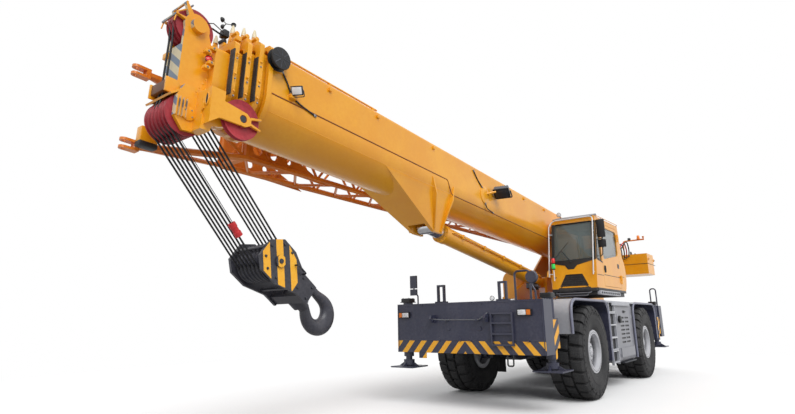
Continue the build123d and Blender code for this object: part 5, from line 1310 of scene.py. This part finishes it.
def makeHead(look):
    shape = Shape("boom_head_fittings")
    shape.rods(look["rods"], onBoom)
    shape.boxes(look["boxes"], asIs, boomTurn)
    makeGauge(shape, look)
    roundLamp(shape, onBoom(*look["lamp"]), (0.4, 1, 0.1), 0.038, "lampRed")
    for side in bothSides:
        for u, y, w, size in look["pinCovers"]:
            shape.lathe([(0, size), (0.014, size), (0.018, size * 0.85), (0.02, 0)], onBoom(u, side * y, w),
                        leftward * side, "boomYellow")
            shape.boltRing(onBoom(u, side * (y + 0.014), w), boomAlong, boomOff, size * 0.68, turns(4, 0.6),
                           leftward * side, 0.009)
    for y, w in look["openings"]:  # rimmed openings of the side box, with black plates in them as painted shade
        def oval(u, wide, tall):
            return [onBoom(u, y + wide * math.cos(a), w + tall * math.sin(a)) for a in turns(20)]

        shape.plate(oval(12.348, *look["openingShade"]), boomAlong, 0.006, "frameBlack", 0)
        shape.tube(oval(12.352, *look["openingRim"]), 0.007, "boomYellow", 8, True)
    for k in range(4):  # studs on the near cheek
        shape.bolt(onBoom(12.30 + 0.03 * k, 0.285, -0.12 - 0.06 * k), leftward, 0.010, "boomYellow")
    for u, w in look["brackets"]:
        shape.box((u - 0.035, 0.20, w - 0.02), (u + 0.035, 0.27, w + 0.02), "boomYellow", 0.008, boomTurn)
        shape.bolt(onBoom(u, 0.27, w), leftward, 0.010)
    shape.done("head")
    sheaves = Shape("head_sheaves_fittings")
    for middle in look["sheaveBolts"]:
        sheaves.boltRing(onBoom(*middle), boomAlong, boomOff, 0.09, turns(8), leftward, 0.010, "sheaveRed")
    sheaves.lathe([(0, 0.040), (0.006, 0.038), (0.008, 0)], onBoom(*look["sidePin"]), leftward, "darkSteel")
    sheaves.done("head")


makeHead(headLook)
print("head made")

# Hook block, falls and hook
blockAxis = Vector(joints["hook_swivel"]["axis"]).normalized()
blockAxis *= -1 if blockAxis.z > 0 else 1
blockSide = leftward.cross(blockAxis)
blockFoot = Vector(joints["block_tilt"]["pos_m"])
blockLook = {
    "cheek": 0.29, "bars": {"lean": 0.10, "pitch": 0.195, "shift": 0.30, "share": 0.52},
    "barFoot": -0.36, "barEdge": -0.235, "barSlope": 0.3,
    "bolts": [(-0.06, 0.20), (0.09, 0.19), (0.18, 0.08), (0.18, -0.08), (-0.20, -0.07), (-0.20, 0.07),
              (0.06, -0.40), (-0.09, -0.40), (0.07, -0.58), (-0.09, -0.58)], "boltSeat": 0.30,
    "pin": [(0, 0.030), (0.010, 0.028), (0.012, 0)], "pinSeat": 0.325,
    "handle": [(-0.12, 0.30, -0.20), (-0.12, 0.36, -0.20), (-0.12, 0.36, -0.36), (-0.12, 0.30, -0.36)],
    "swivel": [(0, 0.10), (0.03, 0.105), (0.05, 0.09), (0.052, 0.075)], "swivelAt": (0, 0, -0.63),
    "latch": [(0.03, 0, -0.85), (-0.07, 0, -0.845), (-0.235, 0, -0.775)],
    "latchPin": [(0.0, -0.05, -0.85), (0.0, 0.05, -0.85)],
    "collar": [(0, 0.095), (0.02, 0.10), (0.05, 0.10), (0.06, 0.085)], "collarAt": (0, 0, -0.70),
}
fallsLook = {"out": 0.175, "back": 0.2, "reach": 1.30, "start": 0.10, "apart": 0.03,
             "weight": [(-0.09, 0.020), (-0.085, 0.044), (-0.03, 0.044), (-0.025, 0.038), (0.025, 0.038),
                        (0.03, 0.044), (0.085, 0.044), (0.09, 0.020)]}


def inBlock(x, y, z):  # measures of the block, z up along the hook's axis
    return blockFoot - blockSide * x - blockAxis * z + leftward * y


def blockMask(wire):  # slanted bars on the upper part of both cheeks
    look, bars, (x, y, z) = blockLook, blockLook["bars"], place(wire)
    dx, dz = x - blockFoot.x, z - blockFoot.z
    across = dx * -blockSide.x + dz * -blockSide.z
    along = dx * -blockAxis.x + dz * -blockAxis.z
    barred = ((dx - dz * bars["lean"]) / bars["pitch"] + bars["shift"]).fraction() < bars["share"]
    return barred * (along > look["barFoot"]) * (across + along * look["barSlope"] > look["barEdge"])


finishes["blockStripes"] = striped("blockStripes", "blockSlate", "markYellow", blockMask)
dress("hook_block", "blockSlate", "blockStripes")
marked("hook_block", lambda c, n: abs(n.y) > 0.9 and abs(c.y) > blockLook["cheek"], 1)


def makeBlock(look):
    shape = Shape("hook_block_fittings")
    for side in bothSides:
        for x, z in look["bolts"]:
            shape.bolt(inBlock(x, side * look["boltSeat"], z), leftward * side, 0.014, "darkSteel")
        shape.lathe(look["pin"], inBlock(0, side * look["pinSeat"], 0), leftward * side, "darkSteel")
        shape.tube(rounded([inBlock(x, side * y, z) for x, y, z in look["handle"]], 0.03), 0.011, "darkSteel")
    shape.lathe(look["swivel"], inBlock(*look["swivelAt"]), blockAxis, "darkSteel", 28)
    shape.done("block")


def makeFalls(look):  # overhoist weight on its thin line
    shape = Shape("rope_falls_fittings")
    start = Vector(joints["hook_hang"]["pos_m"])
    down = (blockFoot - start).normalized()
    line = start + leftward * look["out"] - leftward.cross(down).normalized() * look["back"]
    weight, shift = line + down * look["reach"], leftward * look["apart"]
    shape.lathe(look["weight"], weight, down, "weightRed")
    shape.tube([line + down * look["start"] + shift, weight - down * 0.085 + shift], 0.004, "ropeBlack", 6)
    shape.done("falls")


def makeHook(look):
    shape = Shape("hook_fittings")
    shape.rods([(look["latch"], 0, 0.012, "plainSteel", 8),
                (look["latchPin"], 0, 0.018, "darkSteel", 12)], inBlock)
    shape.lathe(look["collar"], inBlock(*look["collarAt"]), blockAxis, "darkSteel", 28)
    shape.done("hook")


makeBlock(blockLook)
makeFalls(fallsLook)
makeHook(blockLook)
print("block and hook made")

# Lift cylinder and engine hood
cylinderLook = {
    "clamps": (0.8, 1.65, 2.5, 3.35, 4.2), "clamp": ((-0.03, 0.15, 0.0), (0.03, 0.212, 0.08)),
    "headBolts": (4.705, 0.145),
    "pipe": [([(0.45, 0.148, 0.03), (0.47, 0.185, 0.04), (4.53, 0.185, 0.04), (4.56, 0.148, 0.03)],
              0.03, 0.016, "boomYellow", 10)],
    "valve": ((0.42, -0.10, -0.27), (0.72, 0.10, -0.13)),
    "plugs": [(0.50, 0.10, -0.205), (0.64, 0.10, -0.205)],
    "plug": [(0, 0.026), (0.05, 0.026), (0.055, 0.02), (0.07, 0.02), (0.072, 0)],
    "boss": [(0, 0.085), (0.012, 0.085), (0.016, 0.07), (0.018, 0.062)], "bossSeat": 0.14,
}


def makeCylinder(look):
    shape = Shape("lift_barrel_fittings")
    foot, along = Vector(joints["lift_barrel"]["pos_m"]), Vector(joints["lift_rod"]["axis"]).normalized()
    along *= -1 if along.x < 0 else 1
    up = leftward.cross(along)
    up *= -1 if up.z < 0 else 1
    turn = turned(foot, along, up)
    for side in bothSides:
        def at(length, y, off):
            return foot + along * length + up * off + leftward * side * y

        shape.rods(look["pipe"], at)
        for x in look["clamps"]:
            low, high = (Vector((x + a, side * b, c)) for a, b, c in look["clamp"])
            shape.box(low, high, "boomYellow", 0.01, turn)
            shape.bolt(at(x, 0.211, 0.04), leftward * side, 0.010)
        shape.lathe(look["boss"], at(0, look["bossSeat"], 0), leftward * side, "darkSteel")
    shape.box(*look["valve"], "darkSteel", 0.014, turn)
    for place in look["plugs"]:
        shape.lathe(look["plug"], turn @ Vector(place), leftward, "plainSteel", 6)
    end, ring = look["headBolts"]
    shape.boltRing(foot + along * end, up, leftward, ring, turns(12), along, 0.011, "darkSteel")
    shape.done("barrel")


hoodLook = {"louvres": 9, "louvre": (0.25, 0.95, 0.10, 0.035, 0.016),
            "slats": 7, "slat": (0.50, 0.10, 0.05, 0.12),
            "handle": [(-0.30, 0), (-0.30, 0.05), (-0.12, 0.05), (-0.12, 0)], "handleDrop": 0.22,
            "stack": (0.22, 0.18), "flange": [(0, 0.075), (0.015, 0.075), (0.02, 0.05), (0.03, 0.048)]}


def makeHood(look):
    shape = Shape("engine_hood_fittings")
    low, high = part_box("engine_hood")
    start, end, foot, pitch, tall = look["louvre"]
    for side, y in ((-1, low.y), (1, high.y)):
        for k in range(look["louvres"]):
            z = low.z + foot + k * pitch
            shape.box((low.x + start, y - side * 0.004, z), (low.x + end, y + side * 0.010, z + tall),
                      "carrierSlate", 0.004)
        handle = [(high.x + x, y + side * out, high.z - look["handleDrop"]) for x, out in look["handle"]]
        shape.tube(rounded(handle, 0.02), 0.010, "blackPlastic")
    start, pitch, wide, margin = look["slat"]
    for x in [low.x + start + k * pitch for k in range(look["slats"])]:
        shape.box((x, low.y + margin, high.z - 0.003), (x + wide, high.y - margin, high.z + 0.008),
                  "frameBlack", 0.004)
    stack = Vector((low.x + look["stack"][0], low.y + look["stack"][1], high.z - 0.01))
    path = [stack, stack + upward * 0.22, stack + Vector((-0.10, 0, 0.28))]
    shape.tube(rounded(path, 0.08), 0.045, "darkSteel", 16)
    shape.lathe(look["flange"], stack, upward, "darkSteel", 20)
    shape.done("carrier")


makeCylinder(cylinderLook)
makeHood(hoodLook)
print("cylinder and hood made")

# Floor, sky and lamp
stageLook = {"floor": 160, "drop": 0.001, "fade": (30.0, 260.0), "bounce": 0.46, "pale": (0.93, 0.96),
             "sun": 2.1, "sunFrom": (0.55, 0.95, 1.0), "sunSpread": 40,
             "sky": 0.78, "skyBand": (-0.3, 0.9), "low": (0.62, 0.63, 0.66, 1), "high": (1, 1, 1, 1)}


def grey(level):
    return (level, level, level, 1)


def seenBy(wire, *names):  # 1 for the rays of these kinds
    outputs = wire.node("LightPath").out.node.outputs
    rays = [Wire(wire.tree, outputs[name]) for name in names]
    both = rays[0]
    for ray in rays[1:]:
        both = both | ray
    return both


def makeFloor(look):
    material = bpy.data.materials.new("paleFloor")
    material.use_nodes = True
    material.node_tree.nodes.clear()
    wire = Wire(material.node_tree)
    x, y, z = wire.node("NewGeometry").parts()
    grain = surface(wire, 30, 3).band(0.2, 0.8).mix(*(grey(level) for level in look["pale"]))
    # grey for the light that the floor throws back, white far away
    colour = seenBy(wire, "Is Camera Ray").mix(grey(look["bounce"]), grain)
    diffuse = wire.node("BsdfDiffuse", None, {"Color": colour})
    glow = wire.node("Emission", None, {"Color": grey(1), "Strength": 1.0})
    far = (x * x + y * y).band(*look["fade"]) * seenBy(wire, "Is Camera Ray", "Is Glossy Ray")
    both = wire.node("MixShader", None, {0: far, 1: diffuse, 2: glow})
    wire.node("OutputMaterial", None, {0: both}, None)
    mesh = bpy.data.meshes.new("paleFloor")
    half = look["floor"] / 2
    mesh.from_pydata([(-half, -half, 0), (half, -half, 0), (half, half, 0), (-half, half, 0)], [],
                     [(0, 1, 2, 3)])
    mesh.materials.append(material)
    floor = bpy.data.objects.new("paleFloor", mesh)
    bpy.context.scene.collection.objects.link(floor)
    floor.location.z = -look["drop"]


def makeSky(look):
    world = bpy.data.worlds.new("paleSky")
    bpy.context.scene.world = world
    world.use_nodes = True
    world.node_tree.nodes.clear()
    wire = Wire(world.node_tree)
    height = wire.node("TexCoord", None, None, 0).parts()[2]
    colour = height.band(*look["skyBand"]).mix(look["low"], look["high"])
    light = wire.node("Background", None, {"Color": colour, "Strength": look["sky"]})
    white = wire.node("Background", None, {"Color": grey(1), "Strength": 1.0})
    shown = seenBy(wire, "Is Camera Ray", "Is Glossy Ray", "Is Transmission Ray")
    both = wire.node("MixShader", None, {0: shown, 1: light, 2: white})
    wire.node("OutputWorld", None, {0: both}, None)


def makeSun(look):
    lamp = bpy.data.lights.new("softSun", "SUN")
    lamp.energy, lamp.angle = look["sun"], math.radians(look["sunSpread"])
    sun = bpy.data.objects.new("softSun", lamp)
    sun.rotation_euler = Vector(look["sunFrom"]).to_track_quat("Z", "Y").to_euler()
    bpy.context.scene.collection.objects.link(sun)


makeFloor(stageLook)
makeSky(stageLook)
makeSun(stageLook)
print("stage set")
